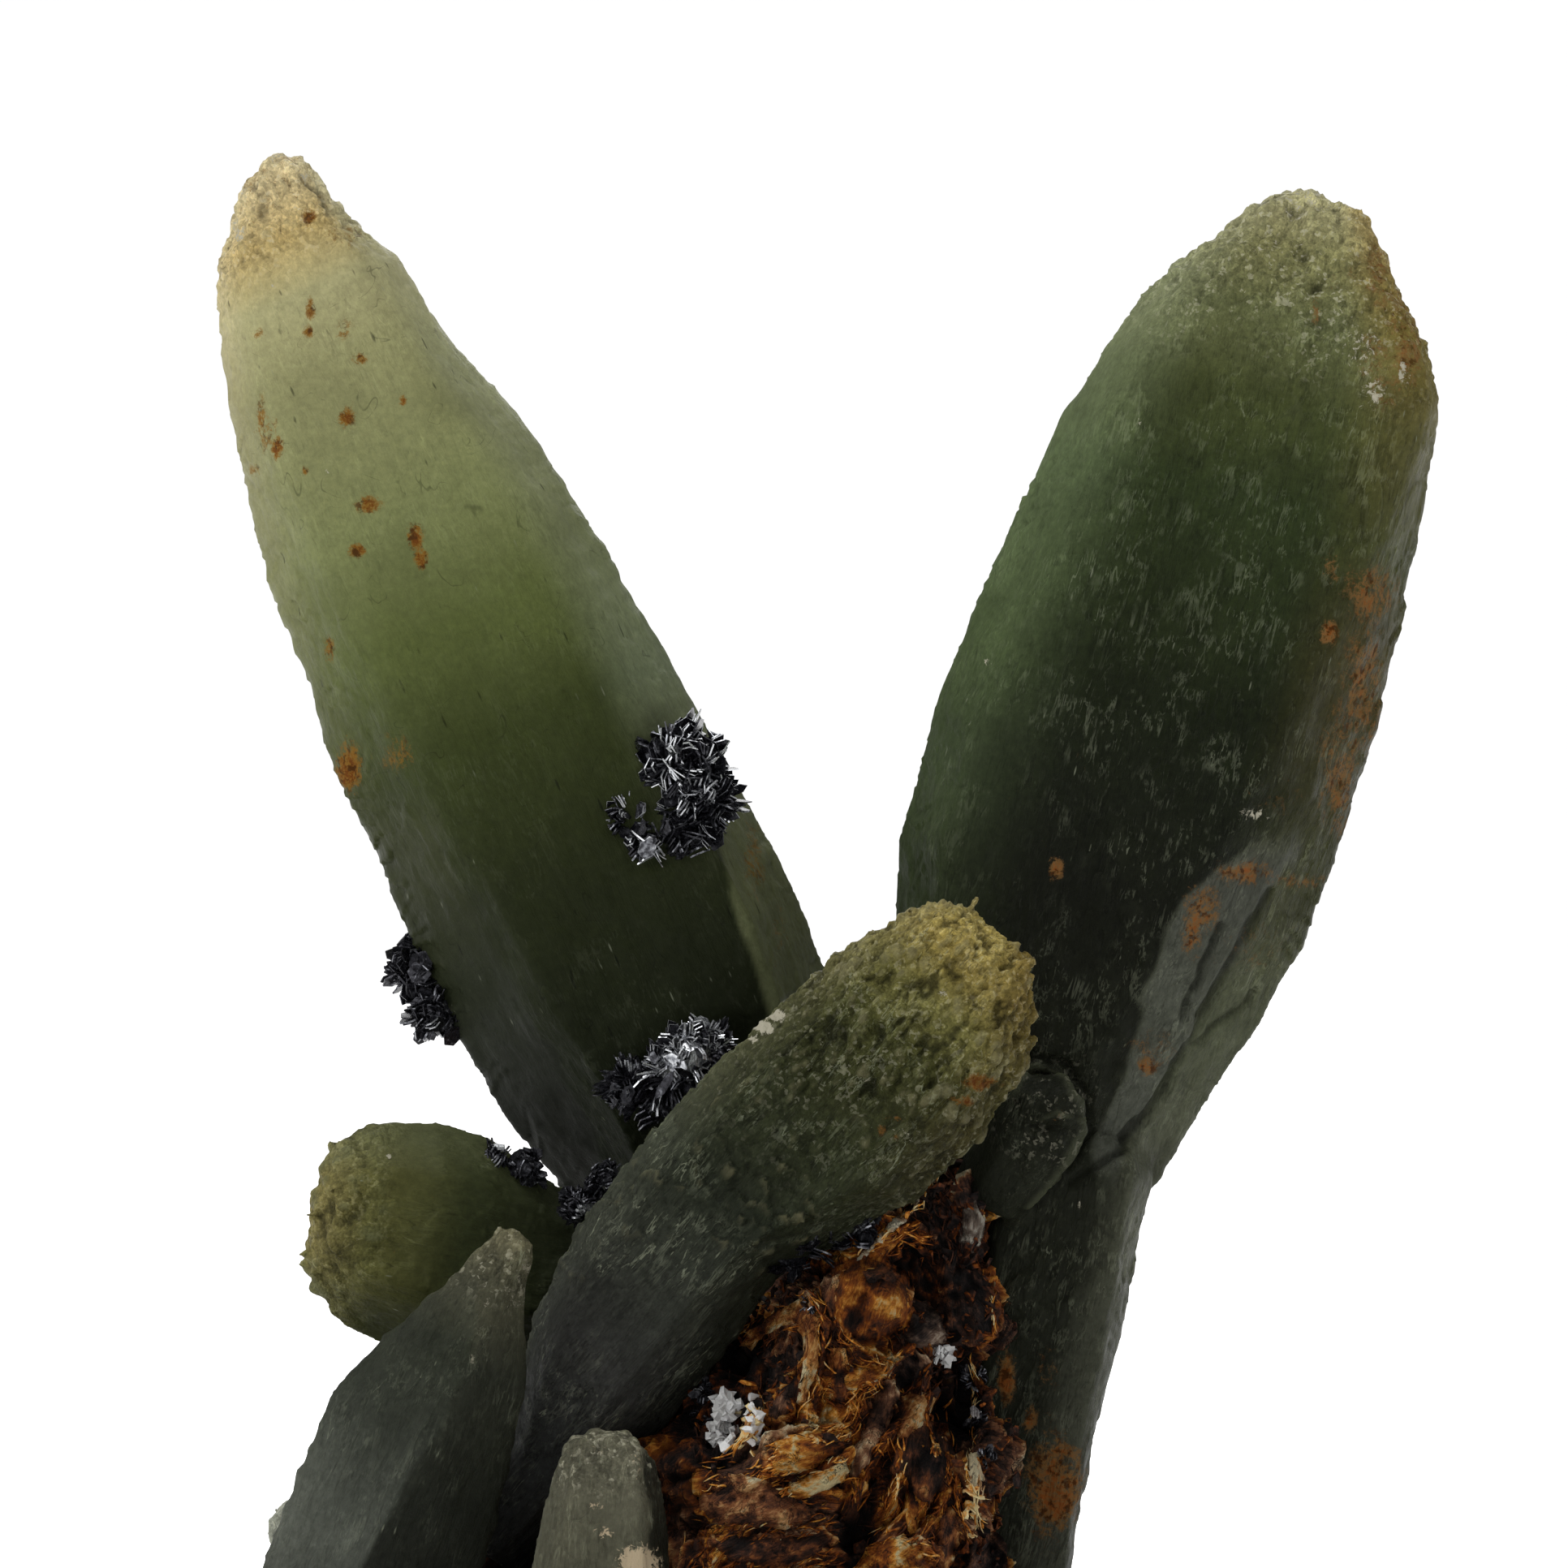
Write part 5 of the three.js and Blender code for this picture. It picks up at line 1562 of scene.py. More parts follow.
def leaf_sheet(leaf, tree, seed):
    """The front places of a leaf, its square faces, and the tone, relief and flow of each place."""
    outline = frayed_outline(leaf.points, seed)
    low, high = outline.min(axis=0) - LEAF_CELL, outline.max(axis=0) + LEAF_CELL
    columns, rows = (np.ceil((high - low) / LEAF_CELL) + 1).astype(int)
    grid = low + LEAF_CELL * np.array([(i, j) for j in range(rows) for i in range(columns)])
    inner, nearest = outline_distance(grid, outline)
    pixels = np.where((inner < 0)[:, None], nearest, grid)
    x, z = photo_place(pixels[:, 0], pixels[:, 1])
    flat = np.column_stack([x, np.zeros(len(x)), z])
    lean = math.radians(leaf.lean)
    across = x * math.cos(lean) - z * math.sin(lean)
    along = x * math.sin(lean) + z * math.cos(lean)
    flow = np.column_stack([across, along, np.full(len(x), 7.3 * seed)])
    height, crest = crumpled(flat + seed, flow, seed)
    dome = smoothstep(0, min(16, 0.8 * inner.max()), inner)
    folds = noise(np.column_stack([across / 1.2, along / 4.0, flow[:, 2]]), seed + 11)
    waves = noise(flat / 2.6, seed + 12)
    free = smoothstep(-0.1, 0.4, noise(flat / 2.0, seed + 13)) * min(1, 3 * leaf.rim)
    y = leaf_depth(tree, pixels, inner, rows, columns)
    y = y - leaf.lift * (1.1 * dome - 0.3 * (1 - dome) * (1 - 2.6 * free))
    y -= 1.3 * (height - 0.4) + 0.8 * folds + 0.9 * waves * dome
    rim = leaf.rim * smoothstep(7, 1, inner) * smoothstep(-0.5, 0.3, noise(flat / 1.4, seed + 5))
    # Lighter where crumples, folds and waves raise the leaf and darker in its creases: painted light and
    # shade
    tone = 0.86 * leaf.tone + 0.4 * (height - 0.4) + 0.2 * crest + rim + 0.16 * folds + 0.14 * waves
    relief = 1.4 * (height - 0.5) + 1.3 * folds - 0.2
    return np.column_stack([x, y, z]), leaf_squares(inner, rows, columns), tone, relief, flow


def leaf_walls(squares, count):
    """The narrow faces between the front of a leaf and its back, whose corners are numbered that many on."""
    edges = {}
    for square in squares:
        edges.update(dict.fromkeys(zip(square, square[1:] + square[:1])))
    return [(b, a, a + count, b + count) for a, b in edges if (b, a) not in edges]


def make_leaves(tree, material):
    """The drawn leaves, each a thin closed body, joined in one mesh."""
    vertices, faces, tones, greys, reliefs, flows = [], [], [], [], [], []
    start = 0
    for number, leaf in enumerate(LEAVES):
        sheet, squares, tone, relief, flow = leaf_sheet(leaf, tree, LEAVES_SEED + 13 * number)
        used = np.unique(np.array(squares))
        place = np.full(len(sheet), -1)
        place[used] = np.arange(len(used))
        squares = place[np.array(squares)].tolist()
        count = len(used)
        backs = [[count + c for c in reversed(square)] for square in squares]
        faces += [tuple(start + c for c in face) for face in (*squares, *backs, *leaf_walls(squares, count))]
        vertices += [sheet[used], sheet[used] + np.array((0, LEAF_THICKNESS, 0))]
        for store, values in ((tones, tone), (reliefs, relief), (flows, flow)):
            store += [values[used], values[used]]
        greys.append(np.full(2 * count, leaf.grey))
        start += 2 * count
    piece = mesh_object("oxide_leaves", np.concatenate(vertices), faces, smooth=True)
    put_attributes(
        piece, tone=np.concatenate(tones), relief=np.concatenate(reliefs), grey=np.concatenate(greys),
    )
    put_vector(piece, "flow", np.concatenate(flows))
    finish_piece(piece, material)


def curve_through(points, count):
    """A smooth curve through the points, as that many places evenly along it."""
    points = np.array(points, float)
    padded = np.vstack([2 * points[0] - points[1], points, 2 * points[-1] - points[-2]])
    t = np.linspace(0, len(points) - 1.001, count)
    i = t.astype(int)
    f = (t - i)[:, None]
    a, b, c, d = padded[i], padded[i + 1], padded[i + 2], padded[i + 3]
    return 0.5 * (2 * b + (c - a) * f + (2 * a - 5 * b + 4 * c - d) * f**2 + (3 * b - a - 3 * c + d) * f**3)


class Fibres:
    """Thin three-sided strands joined into one mesh, with a tone for each."""

    def __init__(self, width):
        self.vertices, self.faces, self.tones = [], [], []
        self.width = width

    def add(self, path, outward, share, tone):
        count = len(path)
        tangent = unit_rows(np.gradient(path, axis=0), 1e-9)
        side = unit_rows(np.cross(tangent, outward), 1e-9)
        up = np.cross(side, tangent)
        swell = np.clip(np.sin(np.pi * np.linspace(0.04, 0.96, count)), 0.02, 1)
        profile = self.width * share * np.sqrt(swell)[:, None]
        start = len(self.tones)
        last = start + 3 * (count - 1)
        for a in range(start, last, 3):
            for corner in range(3):
                other = (corner + 1) % 3
                self.faces.append((a + corner, a + 3 + corner, a + 3 + other, a + other))
        self.faces += [(start, start + 1, start + 2), (last + 2, last + 1, last)]
        rings = np.stack([path - side * profile, path + side * profile, path + up * profile * 0.8], axis=1)
        self.vertices.append(rings.reshape(-1, 3))
        self.tones += [tone] * (3 * count)

    def build(self, name):
        obj = mesh_object(name, np.concatenate(self.vertices), self.faces, smooth=True)
        put_attribute(obj, "tone", self.tones)
        return obj


def surface_tree(obj):
    mesh = obj.data
    return BVHTree.FromPolygons([v.co[:] for v in mesh.vertices], [p.vertices[:] for p in mesh.polygons])


def front_hit(tree, u, v):
    """Where the line of sight through a pixel meets the surface, in mm, and the normal there."""
    x, z = photo_place(u, v)
    place, normal, _, _ = tree.ray_cast(Vector((x * MM, -0.2, z * MM)), Vector((0, 1, 0)))
    if place is None:
        return None, None
    return np.array(place) / MM, np.array(normal)


def eased(path):
    """Each place between the ends drawn halfway to the middle of its neighbours."""
    return 0.5 * path[1:-1] + 0.25 * (path[:-2] + path[2:])


def lay_bundle(fibres, tree, bundle, rng):
    """Short frayed fibres all along the bundle, each turned a little off its course."""
    line = curve_through(bundle.points, LINE_STATIONS)
    along = unit_rows(np.gradient(line, axis=0))
    square = np.column_stack([-along[:, 1], along[:, 0]])
    reach = np.linspace(-0.5, 0.5, FIBRE_STATIONS)[:, None]
    arch = np.sin(np.pi * np.linspace(0.1, 1, FIBRE_STATIONS))
    for _ in range(int(bundle.count * FIBRE_CROWD)):
        i = rng.integers(0, LINE_STATIONS)
        width = np.interp(i, (0, LINE_STATIONS - 1), bundle.width)
        middle = line[i] + square[i] * width * rng.normal() * 0.5
        heading = along[i] + square[i] * rng.normal() * 0.3
        length = rng.uniform(9, 30)
        pixels = middle + length * (reach * heading + reach**2 * square[i] * rng.normal() * 0.5)
        path = [front_hit(tree, *pixel)[0] for pixel in pixels]
        if any(place is None for place in path):
            continue
        path = np.array(path)
        path[1:-1, 1] = eased(path[:, 1])
        path[:, 1] -= bundle.lift * rng.uniform(0.05, 0.7) * arch
        path[0, 1] += 0.12
        outward = np.tile(unit(FRONT + 0.5 * random_direction(rng)), (FIBRE_STATIONS, 1))
        fibres.add(path, outward, bundle.stout * rng.uniform(0.5, 1.7), bundle.tone + rng.normal() * 0.14)


def lay_loose_fibres(fibres, tree, piece, rng):
    """Short fibres all over the crust, each following the grain of the oxide round it."""
    places = places_mm(piece)
    chosen = rng.choice(len(places), LOOSE_FIBRES * 2, replace=False)
    chosen = [i for i in chosen if places[i, 2] > 1.5][:LOOSE_FIBRES]
    starts = places[chosen]
    flow = noise3(starts / 9, FLOW_SEED) + np.array((0, 0, 0.5))
    arch = np.sin(np.pi * np.linspace(0.03, 0.97, LOOSE_STATIONS)) ** 0.8
    for start, direction in zip(starts, flow):
        direction = unit(direction + 0.25 * random_direction(rng))
        length = rng.uniform(1.0, 3.0)
        path, here = [], start
        for _ in range(LOOSE_STATIONS):
            here, normal, _, _ = tree.find_nearest(Vector(here * MM))
            here, normal = np.array(here) / MM, np.array(normal)
            path.append(here)
            direction = unit(direction - normal * (direction @ normal) + 0.12 * random_direction(rng))
            here = here + direction * length / (LOOSE_STATIONS - 1)
        path = np.array(path)
        path[1:-1] = eased(path)
        path += normal * (rng.uniform(0.05, 0.5) * arch)[:, None]
        tone = 0.3 + 0.16 * fractal(start[None] / 7, TONE_SEED, 2)[0] + rng.normal() * 0.08
        fibres.add(path, np.tile(normal, (LOOSE_STATIONS, 1)), rng.uniform(0.5, 1.3), tone)


# (pixel u, pixel v, reach across, reach down, count, size in mm, tone)
SHARDS = (
    (1175, 1560, 46, 60, 40, 1.5, 0.12), (1190, 1500, 24, 50, 26, 1.2, 0.14),
    (945, 1582, 36, 30, 40, 1.1, 0.1), (1200, 1620, 18, 26, 16, 1.5, 0.2),
    (1150, 1450, 20, 50, 30, 1.2, 0.04), (925, 1745, 16, 26, 12, 1.0, 0.9),
    (1205, 1900, 36, 26, 40, 1.0, 0.14), (1160, 1690, 20, 26, 16, 1.0, 0.1),
    (1196, 1840, 10, 34, 20, 0.8, 0.85), (1100, 1500, 30, 16, 16, 1.1, 0.5),
    (1120, 1640, 40, 30, 26, 1.1, 0.2), (960, 1700, 30, 30, 20, 1.0, 0.16),
)
WILD_SHARDS = 220


def lay_shards(template, tree, piece, material):
    rng = np.random.default_rng(SHARDS_SEED)
    heap = Heap(template)
    places, normals = places_mm(piece), normals_of(piece)

    def shard(place, normal, size, tone):
        side, direction, flat = axes_for(random_direction(rng) + 0.6 * normal, rng)
        sizes = (size * rng.uniform(0.4, 0.9), size * rng.uniform(0.7, 1.5), rng.uniform(0.1, 0.26))
        jitter = rng.normal(size=heap.shape.shape) * np.array((0.1, 0.1, 0.04)) * size
        tone += rng.normal() * 0.08
        heap.add(place + normal * 0.1 * size, (side, direction, flat), sizes, tone, jitter, rim=tone + 0.16)

    for u, v, reach_across, reach_down, count, size, tone in SHARDS:
        for _ in range(count):
            pixel = u + rng.normal() * reach_across * 0.5, v + rng.normal() * reach_down * 0.5
            place, normal = front_hit(tree, *pixel)
            if place is not None:
                shard(place, normal, size * rng.uniform(0.5, 1.2), tone)
    for i in rng.choice(len(places), WILD_SHARDS, replace=False):
        if places[i, 2] > 2:
            shard(places[i], normals[i], rng.uniform(0.6, 1.6), rng.uniform(0.04, 0.34))
    finish_piece(heap.build("oxide_shards", "tone"), material)


def oxide_material(name, crusty, settings):
    """Iron oxide: black-brown, rust, gold and cream by the tone of each place, matt and fibrous, with painted
    shade in its hollows and cracks.
    """
    material, nodes, shade = new_material(name)
    vector = nodes.place()
    if crusty:
        along = nodes.out("Mapping", {"Vector": nodes.attribute("flow", "Vector"), "Scale": (2.6, 0.8, 2.6)})
        fibre = nodes.noise(along, 1.0, 6.0, 0.66, 1.4)
    else:
        fibre = nodes.noise(vector, 2.2, 4.0, 0.6)
    chunk = nodes.noise(vector, 0.7, 5.0, 0.65)
    level = nodes.attribute("tone") + (fibre - 0.5) * 0.9 + (chunk - 0.5) * 0.7
    rusty = (
        (0.0, seen(9, 6, 5)),
        (0.2, seen(34, 21, 16)),
        (0.36, seen(68, 37, 21)),
        (0.5, seen(116, 58, 18)),
        (0.64, (*settings.rust, 1)),
        (0.8, (*settings.gold, 1)),
        (1.0, (*settings.cream, 1)),
    )
    drab = (
        (0.0, seen(10, 9, 9)), (0.3, seen(50, 42, 38)), (0.6, seen(108, 94, 82)), (1.0, seen(214, 206, 190)),
    )
    colour = nodes.mix(nodes.attribute("grey"), nodes.ramp(level, rusty), nodes.ramp(level, drab))
    height = fibre + nodes.noise(vector, 4.0, 4.0, 0.6) * 0.35
    if crusty:
        # Painted shade: black in the deep hollows of the relief and along thin cracks
        gap = nodes.span(abs(nodes.noise(vector, 0.5, 5.0, 0.62, 1.4) - 0.5), 0.035, 0.004)
        gap = gap * nodes.span(nodes.noise(vector, 0.4, 3.0), 0.4, 0.56)
        dark = nodes.span(nodes.attribute("relief"), -2.2, -0.2, 0.94, 0.0).highest(gap * 0.85)
        colour = nodes.mix(dark, colour, CREVICE_SHADE)
        sawn = nodes.mix(nodes.noise(vector, 0.6, 5.0), seen(70, 44, 26), seen(110, 74, 44))
        colour = nodes.mix(nodes.attribute("sawn"), colour, sawn)
        height = height + chunk * 0.8
    shade({
        "Base Color": colour,
        "Roughness": nodes.span(fibre, 0.3, 0.7, 0.95, 0.6),
        "Normal": nodes.bump(height, 1.0, 0.0008 if crusty else 0.00005),
        "Specular IOR Level": 0.2,
    })
    return material


def make_fibres(piece, tree, material, settings):
    rng = np.random.default_rng(FIBRES_SEED)
    bundled, loose = Fibres(settings.fibre_width / MM), Fibres(settings.fibre_width / MM)
    for bundle in BUNDLES:
        lay_bundle(bundled, tree, bundle, rng)
    finish_piece(bundled.build("oxide_fibre_bundles"), material)
    lay_loose_fibres(loose, tree, piece, rng)
    finish_piece(loose.build("loose_oxide_fibres"), material)


# Pale quartz and small blades in the matrix

GOLDEN_ANGLE = 2.4  # radians
PALE_SEED, SMALL_BLADES_SEED = 121, 131
PALE_GROUPS = {  # node: ((pixel u, pixel v, reach across, reach down, blocks, size in mm, tone), ...)
    "pale_crystals_left": ((896, 1726, 17, 16, 16, 0.8, 0.6), (890, 1758, 17, 16, 16, 0.75, 1.0),
                           (930, 1742, 9, 28, 16, 0.7, 0.8)),
    "pale_crystals_right": ((1163, 1666, 13, 14, 14, 0.6, 1.0),),
}
# (pixel u, pixel v, radius in mm, books, lean)
SMALL_BLADES = (
    (872, 1712, 1.6, 12, (-0.4, -0.6, 0.6)), (868, 1745, 1.5, 10, (-0.4, -0.6, -0.2)),
    (1196, 1700, 1.6, 10, (0.2, -0.5, 1.0)), (1204, 1740, 1.5, 8, (0.2, -0.5, -1.0)),
    (1150, 1440, 1.8, 10, (0.1, -0.5, 1.2)), (1000, 1600, 1.3, 6, (0.0, -0.6, -0.8)),
    (1210, 1790, 1.3, 6, (0.3, -0.5, 0.8)),
)


def make_pale_crystals(name, groups, template, tree, material, seed):
    """Broken plates that face the front, spaced so that dark gaps show between them."""
    rng = np.random.default_rng(seed)
    heap = Heap(template)
    for u, v, reach_across, reach_down, count, size, tone in groups:
        for n in range(count):
            reach, angle = math.sqrt((n + 0.5) / count), n * GOLDEN_ANGLE
            across, down = reach_across * math.cos(angle), reach_down * math.sin(angle)
            place, _ = front_hit(tree, u + across * reach, v + down * reach)
            if place is None:
                continue
            flat = unit(FRONT + 1.1 * random_direction(rng))
            side = unit(np.cross(flat, random_direction(rng)))
            sizes = size * np.array((rng.uniform(0.6, 1.2), rng.uniform(0.6, 1.2), rng.uniform(0.3, 0.8)))
            jitter = rng.normal(size=heap.shape.shape) * 0.12 * size
            middle = place + FRONT * rng.uniform(0.1, 0.7) * size
            shade = tone * rng.uniform(0.45, 1.15)
            heap.add(middle, (side, np.cross(flat, side), flat), sizes, shade, jitter)
    finish_piece(heap.build(name + "_blocks", "tone"), material, [name])


def pale_material(settings):
    material, nodes, shade = new_material("pale quartz")
    cloud = nodes.noise(nodes.place(), 2.2, 6.0, 0.75, 0.6)
    stops = (
        (0.34, seen(24, 22, 18)),
        (0.44, seen(170, 166, 150)),
        (0.6, (*settings.pale_quartz, 1)),
        (0.8, (0.95, 0.95, 0.93, 1)),
    )
    shade({
        "Base Color": nodes.ramp(nodes.attribute("tone") * 0.5 + cloud * 0.9, stops),
        "Roughness": nodes.span(cloud, 0.3, 0.7, 0.2, 0.5),
        "Normal": nodes.bump(cloud, 0.5, 0.0002),
        "IOR": 1.54,
    })
    return material


def make_small_blades(template, tree, material, settings):
    rng = np.random.default_rng(SMALL_BLADES_SEED)
    heap = Heap(template)
    for u, v, radius, books, lean in SMALL_BLADES:
        place, _ = front_hit(tree, u, v)
        if place is not None:
            fill_tuft(heap, Tuft(tuple(place - ORIGIN), radius, books, lean, 0.12, 0.1), rng, settings)
    finish_piece(heap.build("small_blades_in_matrix", "shine"), material)


# The stage


FLOOR_RADIUS = 6.0  # metres
SENSOR_WIDTH = 36.0


def make_floor(settings):
    deselect_all()
    bpy.ops.mesh.primitive_circle_add(vertices=96, radius=FLOOR_RADIUS, fill_type="NGON", location=(0, 0, 0))
    floor = bpy.context.object
    floor.name = "studio_floor"
    material, nodes, shade = new_material("pale floor")
    spot = nodes.place()
    away = nodes.out("VectorMath", {0: spot}, "Value", operation="LENGTH")
    near, far = settings.floor_fade * 300, settings.floor_fade * 1000
    shade({
        "Base Color": nodes.mix(nodes.noise(spot, 0.02, 4.0), (0.8, 0.8, 0.8, 1), (0.86, 0.86, 0.86, 1)),
        "Emission Strength": nodes.span(away, near, far, settings.floor_glow, 1.2),
        "Roughness": 0.9,
        "Emission Color": WHITE,
    })
    floor.data.materials.append(material)


def make_room(settings):
    """Soft light from all round, and pure white behind the cluster."""
    world = bpy.data.worlds.new("studio")
    bpy.context.scene.world = world
    world.use_nodes = True
    nodes = Nodes(world.node_tree)
    inputs = {
        "Value": nodes.out("LightPath", output="Is Camera Ray"),
        "To Min": settings.world_light,
        "To Max": 1.02,
    }
    background = world.node_tree.nodes["Background"]
    nodes.feed(background.inputs, {"Color": WHITE, "Strength": nodes.out("MapRange", inputs)})


def make_stage(settings):
    scene = bpy.context.scene
    scene.view_settings.view_transform = "Standard"
    make_floor(settings)
    make_room(settings)
    centre_x, centre_z = photo_place(PHOTO_SIDE / 2, PHOTO_SIDE / 2)
    aim = Vector((centre_x * MM, 0, 0.08))
    for name, place, size, power in (
        ("overhead softbox", (-0.15, -0.1, 0.85), 0.7, settings.overhead_power),
        ("left softbox", (-0.75, -0.45, 0.45), 0.5, settings.left_power),
        ("right softbox", (0.8, -0.25, 0.35), 0.45, settings.right_power),
        ("back softbox", (0.1, 0.8, 0.55), 0.6, settings.back_power),
    ):
        light = bpy.data.lights.new(name, "AREA")
        light.shape = "DISK"
        light.size = size
        light.energy = power
        lamp = new_object(name, light)
        lamp.location = place
        lamp.rotation_euler = (aim - Vector(place)).to_track_quat("-Z", "Y").to_euler()
    camera = bpy.data.cameras.new("photo camera")
    camera.sensor_width = SENSOR_WIDTH
    camera.lens = SENSOR_WIDTH * settings.camera_distance / (PHOTO_SIDE / PIXELS_PER_MM * MM)
    camera.clip_start = 0.01
    camera.clip_end = 20.0
    viewer = new_object("photo camera", camera)
    viewer.location = (centre_x * MM, -settings.camera_distance, centre_z * MM)
    viewer.rotation_euler = (math.pi / 2, 0, 0)
    scene.camera = viewer


# The add-on


def number_property(name, description, default, **limits):
    return bpy.props.FloatProperty(name=name, description=description, default=default, min=0, **limits)


def length_property(*texts):
    return number_property(*texts, unit="LENGTH")


def share_property(*texts):
    return number_property(*texts, max=1, subtype="FACTOR")


def power_property(name, default):
    return number_property(name, "Power in watts", default)


def colour_property(name, description, default):
    return bpy.props.FloatVectorProperty(
        name=name, description=description, default=default[:3], min=0, max=1, size=3, subtype="COLOR"
    )


class PraseCrystalSettings(bpy.types.PropertyGroup):
    """How the green quartz takes the light."""

    gloss: share_property("Gloss", "Strength of the reflections on the faces", 0.08)
    cloud: share_property("Cloudiness", "Share of the light that spreads inside the quartz", 0.1)
    cloud_depth: length_property("Cloud depth", "How far the light spreads inside the quartz", 0.002)


class PraseRoseSettings(bpy.types.PropertyGroup):
    """The blades of the hematite roses."""

    blade_thickness: length_property("Blade thickness", "Usual thickness of a blade", 0.00012)
    blade_gap: length_property("Blade gap", "Distance between the blades of one book", 0.0002)
    # The painted shade of blades that face away and the painted shine of the others
    dark: colour_property("Dark faces", "Colour of the blades that face away", (0.01, 0.01, 0.013))
    bright: colour_property("Bright faces", "Colour of the blades that shine", (0.9, 0.92, 0.95))


class PraseMatrixSettings(bpy.types.PropertyGroup):
    """The iron-oxide matrix and the pale quartz in it."""

    crust_detail: length_property("Crust detail", "Size of the smallest forms of the crust", 0.00058)
    fibre_width: length_property("Fibre width", "Usual half width of a fibre", 0.00006)
    rust: colour_property("Rust", "Colour of the brighter crust", seen(158, 90, 28))
    gold: colour_property("Gold", "Colour of the golden fibres", seen(208, 146, 60))
    cream: colour_property("Cream", "Colour of the palest fibres", seen(222, 194, 146))
    pale_quartz: colour_property("Pale quartz", "Colour of the small pale crystals", seen(236, 234, 222))


class PraseStageSettings(bpy.types.PropertyGroup):
    """The studio's lights, floor and camera."""

    camera_distance: length_property("Camera distance", "From the camera to the cluster", 1.2)
    world_light: share_property("Room light", "Light from all round", 0.13)
    floor_glow: share_property("Floor glow", "Glow of the floor near the cluster", 0.05)
    floor_fade: length_property("Floor fade", "How far off the floor is pure white", 0.38)
    overhead_power: power_property("Overhead softbox", 3.2)
    left_power: power_property("Left softbox", 2.0)
    right_power: power_property("Right softbox", 0.6)
    back_power: power_property("Back softbox", 2.0)


def shared_material(name, maker, *arguments):
    """The material of that name, made the first time it is asked for."""
    return bpy.data.materials.get(name) or maker(name, *arguments)


def blade_material(settings):
    return shared_material("hematite blades", hematite_material, settings)


def crust_material(settings):
    return shared_material("iron oxide crust", oxide_material, True, settings)


def fibre_material(settings):
    return shared_material("iron oxide fibres", oxide_material, False, settings)


def crust_and_tree():
    """The finished crust of the matrix, and what finds the nearest places on it."""
    piece = bpy.data.objects.get("matrix_surface")
    if piece is None:
        raise RuntimeError("the matrix's crust has to be made first")
    return piece, surface_tree(piece)


class PRASE_OT_stage(bpy.types.Operator):
    """Sets up the pale floor, the soft lights and the camera"""

    bl_idname = "prase.stage"
    bl_label = "Stage"

    def execute(self, context):
        make_stage(context.scene.prase_stage)
        return {"FINISHED"}


class PRASE_OT_crystals(bpy.types.Operator):
    """Grows the surfaces of the prase crystals over their solids"""

    bl_idname = "prase.crystals"
    bl_label = "Prase crystals"

    def execute(self, context):
        groups = {"grain": grain_group(scales_group()), "stain": stain_group()}
        for crystal in CRYSTALS:
            make_crystal(crystal, groups, context.scene.prase_crystals)
        return {"FINISHED"}


class PRASE_OT_roses(bpy.types.Operator):
    """Builds the hematite roses out of thin blades"""

    bl_idname = "prase.roses"
    bl_label = "Hematite roses"

    def execute(self, context):
        settings = context.scene.prase_roses
        for number, (name, tufts) in enumerate(ROSES.items()):
            make_rose(name, tufts, blade_template(), blade_material(settings), ROSES_SEED + number, settings)
        return {"FINISHED"}


class PRASE_OT_crust(bpy.types.Operator):
    """Folds and crumples the surface of the iron-oxide matrix"""

    bl_idname = "prase.crust"
    bl_label = "Matrix crust"

    def execute(self, context):
        settings = context.scene.prase_matrix
        make_matrix(crust_material(settings), settings)
        return {"FINISHED"}


class PRASE_OT_leaves(bpy.types.Operator):
    """Lays crumpled leaves of oxide over the crust"""

    bl_idname = "prase.leaves"
    bl_label = "Oxide leaves"

    def execute(self, context):
        _, tree = crust_and_tree()
        make_leaves(tree, crust_material(context.scene.prase_matrix))
        return {"FINISHED"}


class PRASE_OT_fibres(bpy.types.Operator):
    """Lays bundles of fibres and loose fibres over the crust"""

    bl_idname = "prase.fibres"
    bl_label = "Oxide fibres"

    def execute(self, context):
        settings = context.scene.prase_matrix
        make_fibres(*crust_and_tree(), fibre_material(settings), settings)
        return {"FINISHED"}


class PRASE_OT_shards(bpy.types.Operator):
    """Scatters thin shards of oxide over the crust"""

    bl_idname = "prase.shards"
    bl_label = "Oxide shards"

    def execute(self, context):
        piece, tree = crust_and_tree()
        lay_shards(blade_template(), tree, piece, fibre_material(context.scene.prase_matrix))
        return {"FINISHED"}


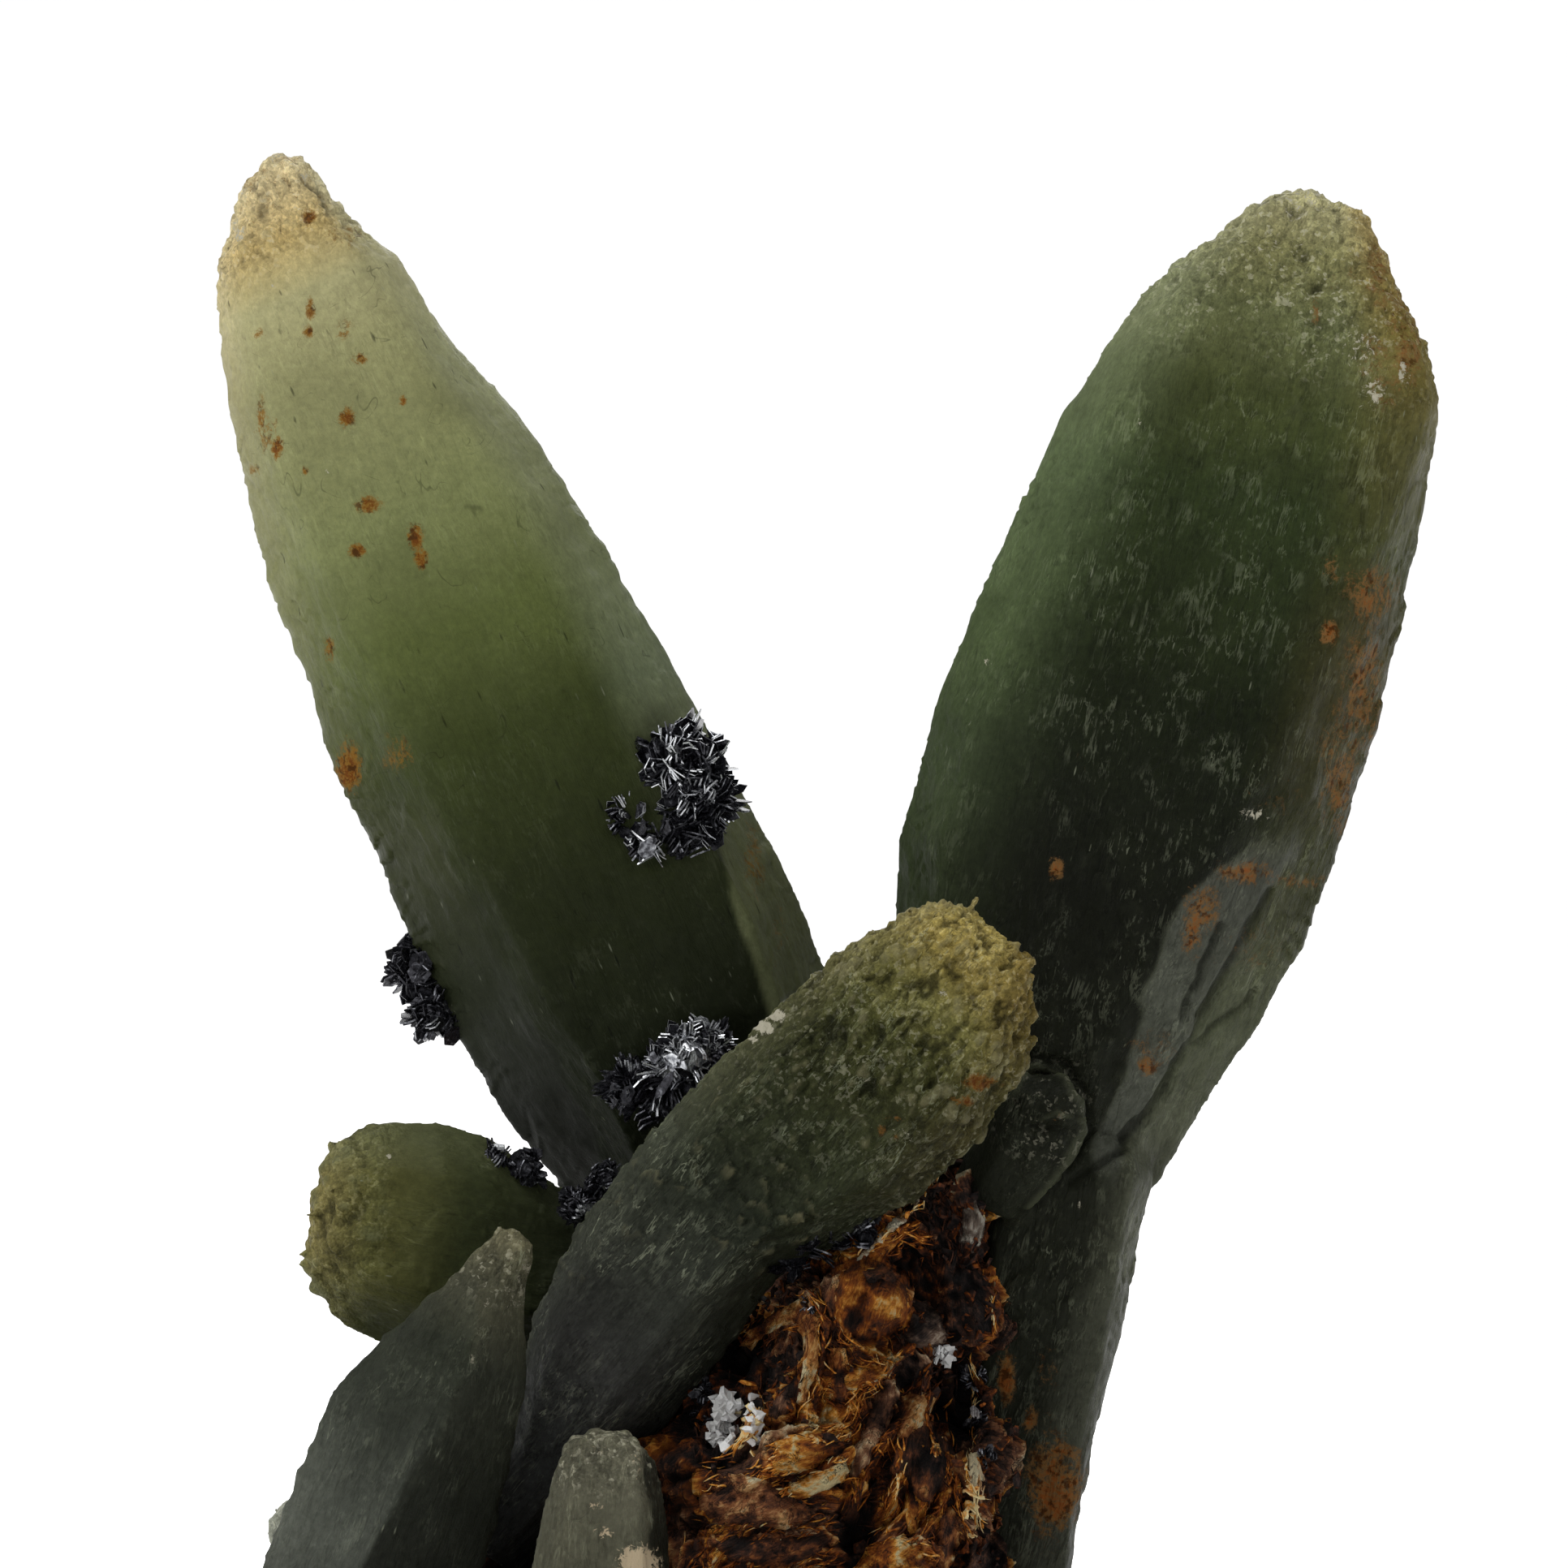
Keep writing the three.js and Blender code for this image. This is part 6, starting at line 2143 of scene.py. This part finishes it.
class PRASE_OT_pale_crystals(bpy.types.Operator):
    """Seats the small pale quartz crystals in the crust"""

    bl_idname = "prase.pale_crystals"
    bl_label = "Pale crystals"

    def execute(self, context):
        _, tree = crust_and_tree()
        material = pale_material(context.scene.prase_matrix)
        for number, (name, groups) in enumerate(PALE_GROUPS.items()):
            make_pale_crystals(name, groups, block_template(), tree, material, PALE_SEED + number)
        return {"FINISHED"}


class PRASE_OT_small_blades(bpy.types.Operator):
    """Sets small hematite blades into the hollows of the crust"""

    bl_idname = "prase.small_blades"
    bl_label = "Small blades"

    def execute(self, context):
        settings = context.scene.prase_roses
        _, tree = crust_and_tree()
        make_small_blades(blade_template(), tree, blade_material(settings), settings)
        return {"FINISHED"}


class PRASE_PT_panel(bpy.types.Panel):
    """Lists the cluster's pieces"""

    bl_label = "Prase Cluster"
    bl_idname = "PRASE_PT_panel"
    bl_space_type = "VIEW_3D"
    bl_region_type = "UI"
    bl_category = "Prase Cluster"

    def draw(self, context):
        for operator in OPERATORS:
            self.layout.operator(operator.bl_idname)


SETTINGS = {
    "prase_crystals": PraseCrystalSettings,
    "prase_roses": PraseRoseSettings,
    "prase_matrix": PraseMatrixSettings,
    "prase_stage": PraseStageSettings,
}
OPERATORS = (
    PRASE_OT_crystals, PRASE_OT_roses, PRASE_OT_crust, PRASE_OT_leaves, PRASE_OT_fibres, PRASE_OT_shards,
    PRASE_OT_pale_crystals, PRASE_OT_small_blades, PRASE_OT_stage,
)
CLASSES = (*SETTINGS.values(), *OPERATORS, PRASE_PT_panel)


def register():
    for cls in CLASSES:
        bpy.utils.register_class(cls)
    for name, settings in SETTINGS.items():
        setattr(bpy.types.Scene, name, bpy.props.PointerProperty(type=settings))


def unregister():
    for name in SETTINGS:
        delattr(bpy.types.Scene, name)
    for cls in reversed(CLASSES):
        bpy.utils.unregister_class(cls)


def main():
    register()
    bpy.ops.prase.crystals()
    bpy.ops.prase.roses()
    bpy.ops.prase.crust()
    bpy.ops.prase.leaves()
    bpy.ops.prase.fibres()
    bpy.ops.prase.shards()
    bpy.ops.prase.pale_crystals()
    bpy.ops.prase.small_blades()
    bpy.ops.prase.stage()


if __name__ == "__main__":
    main()
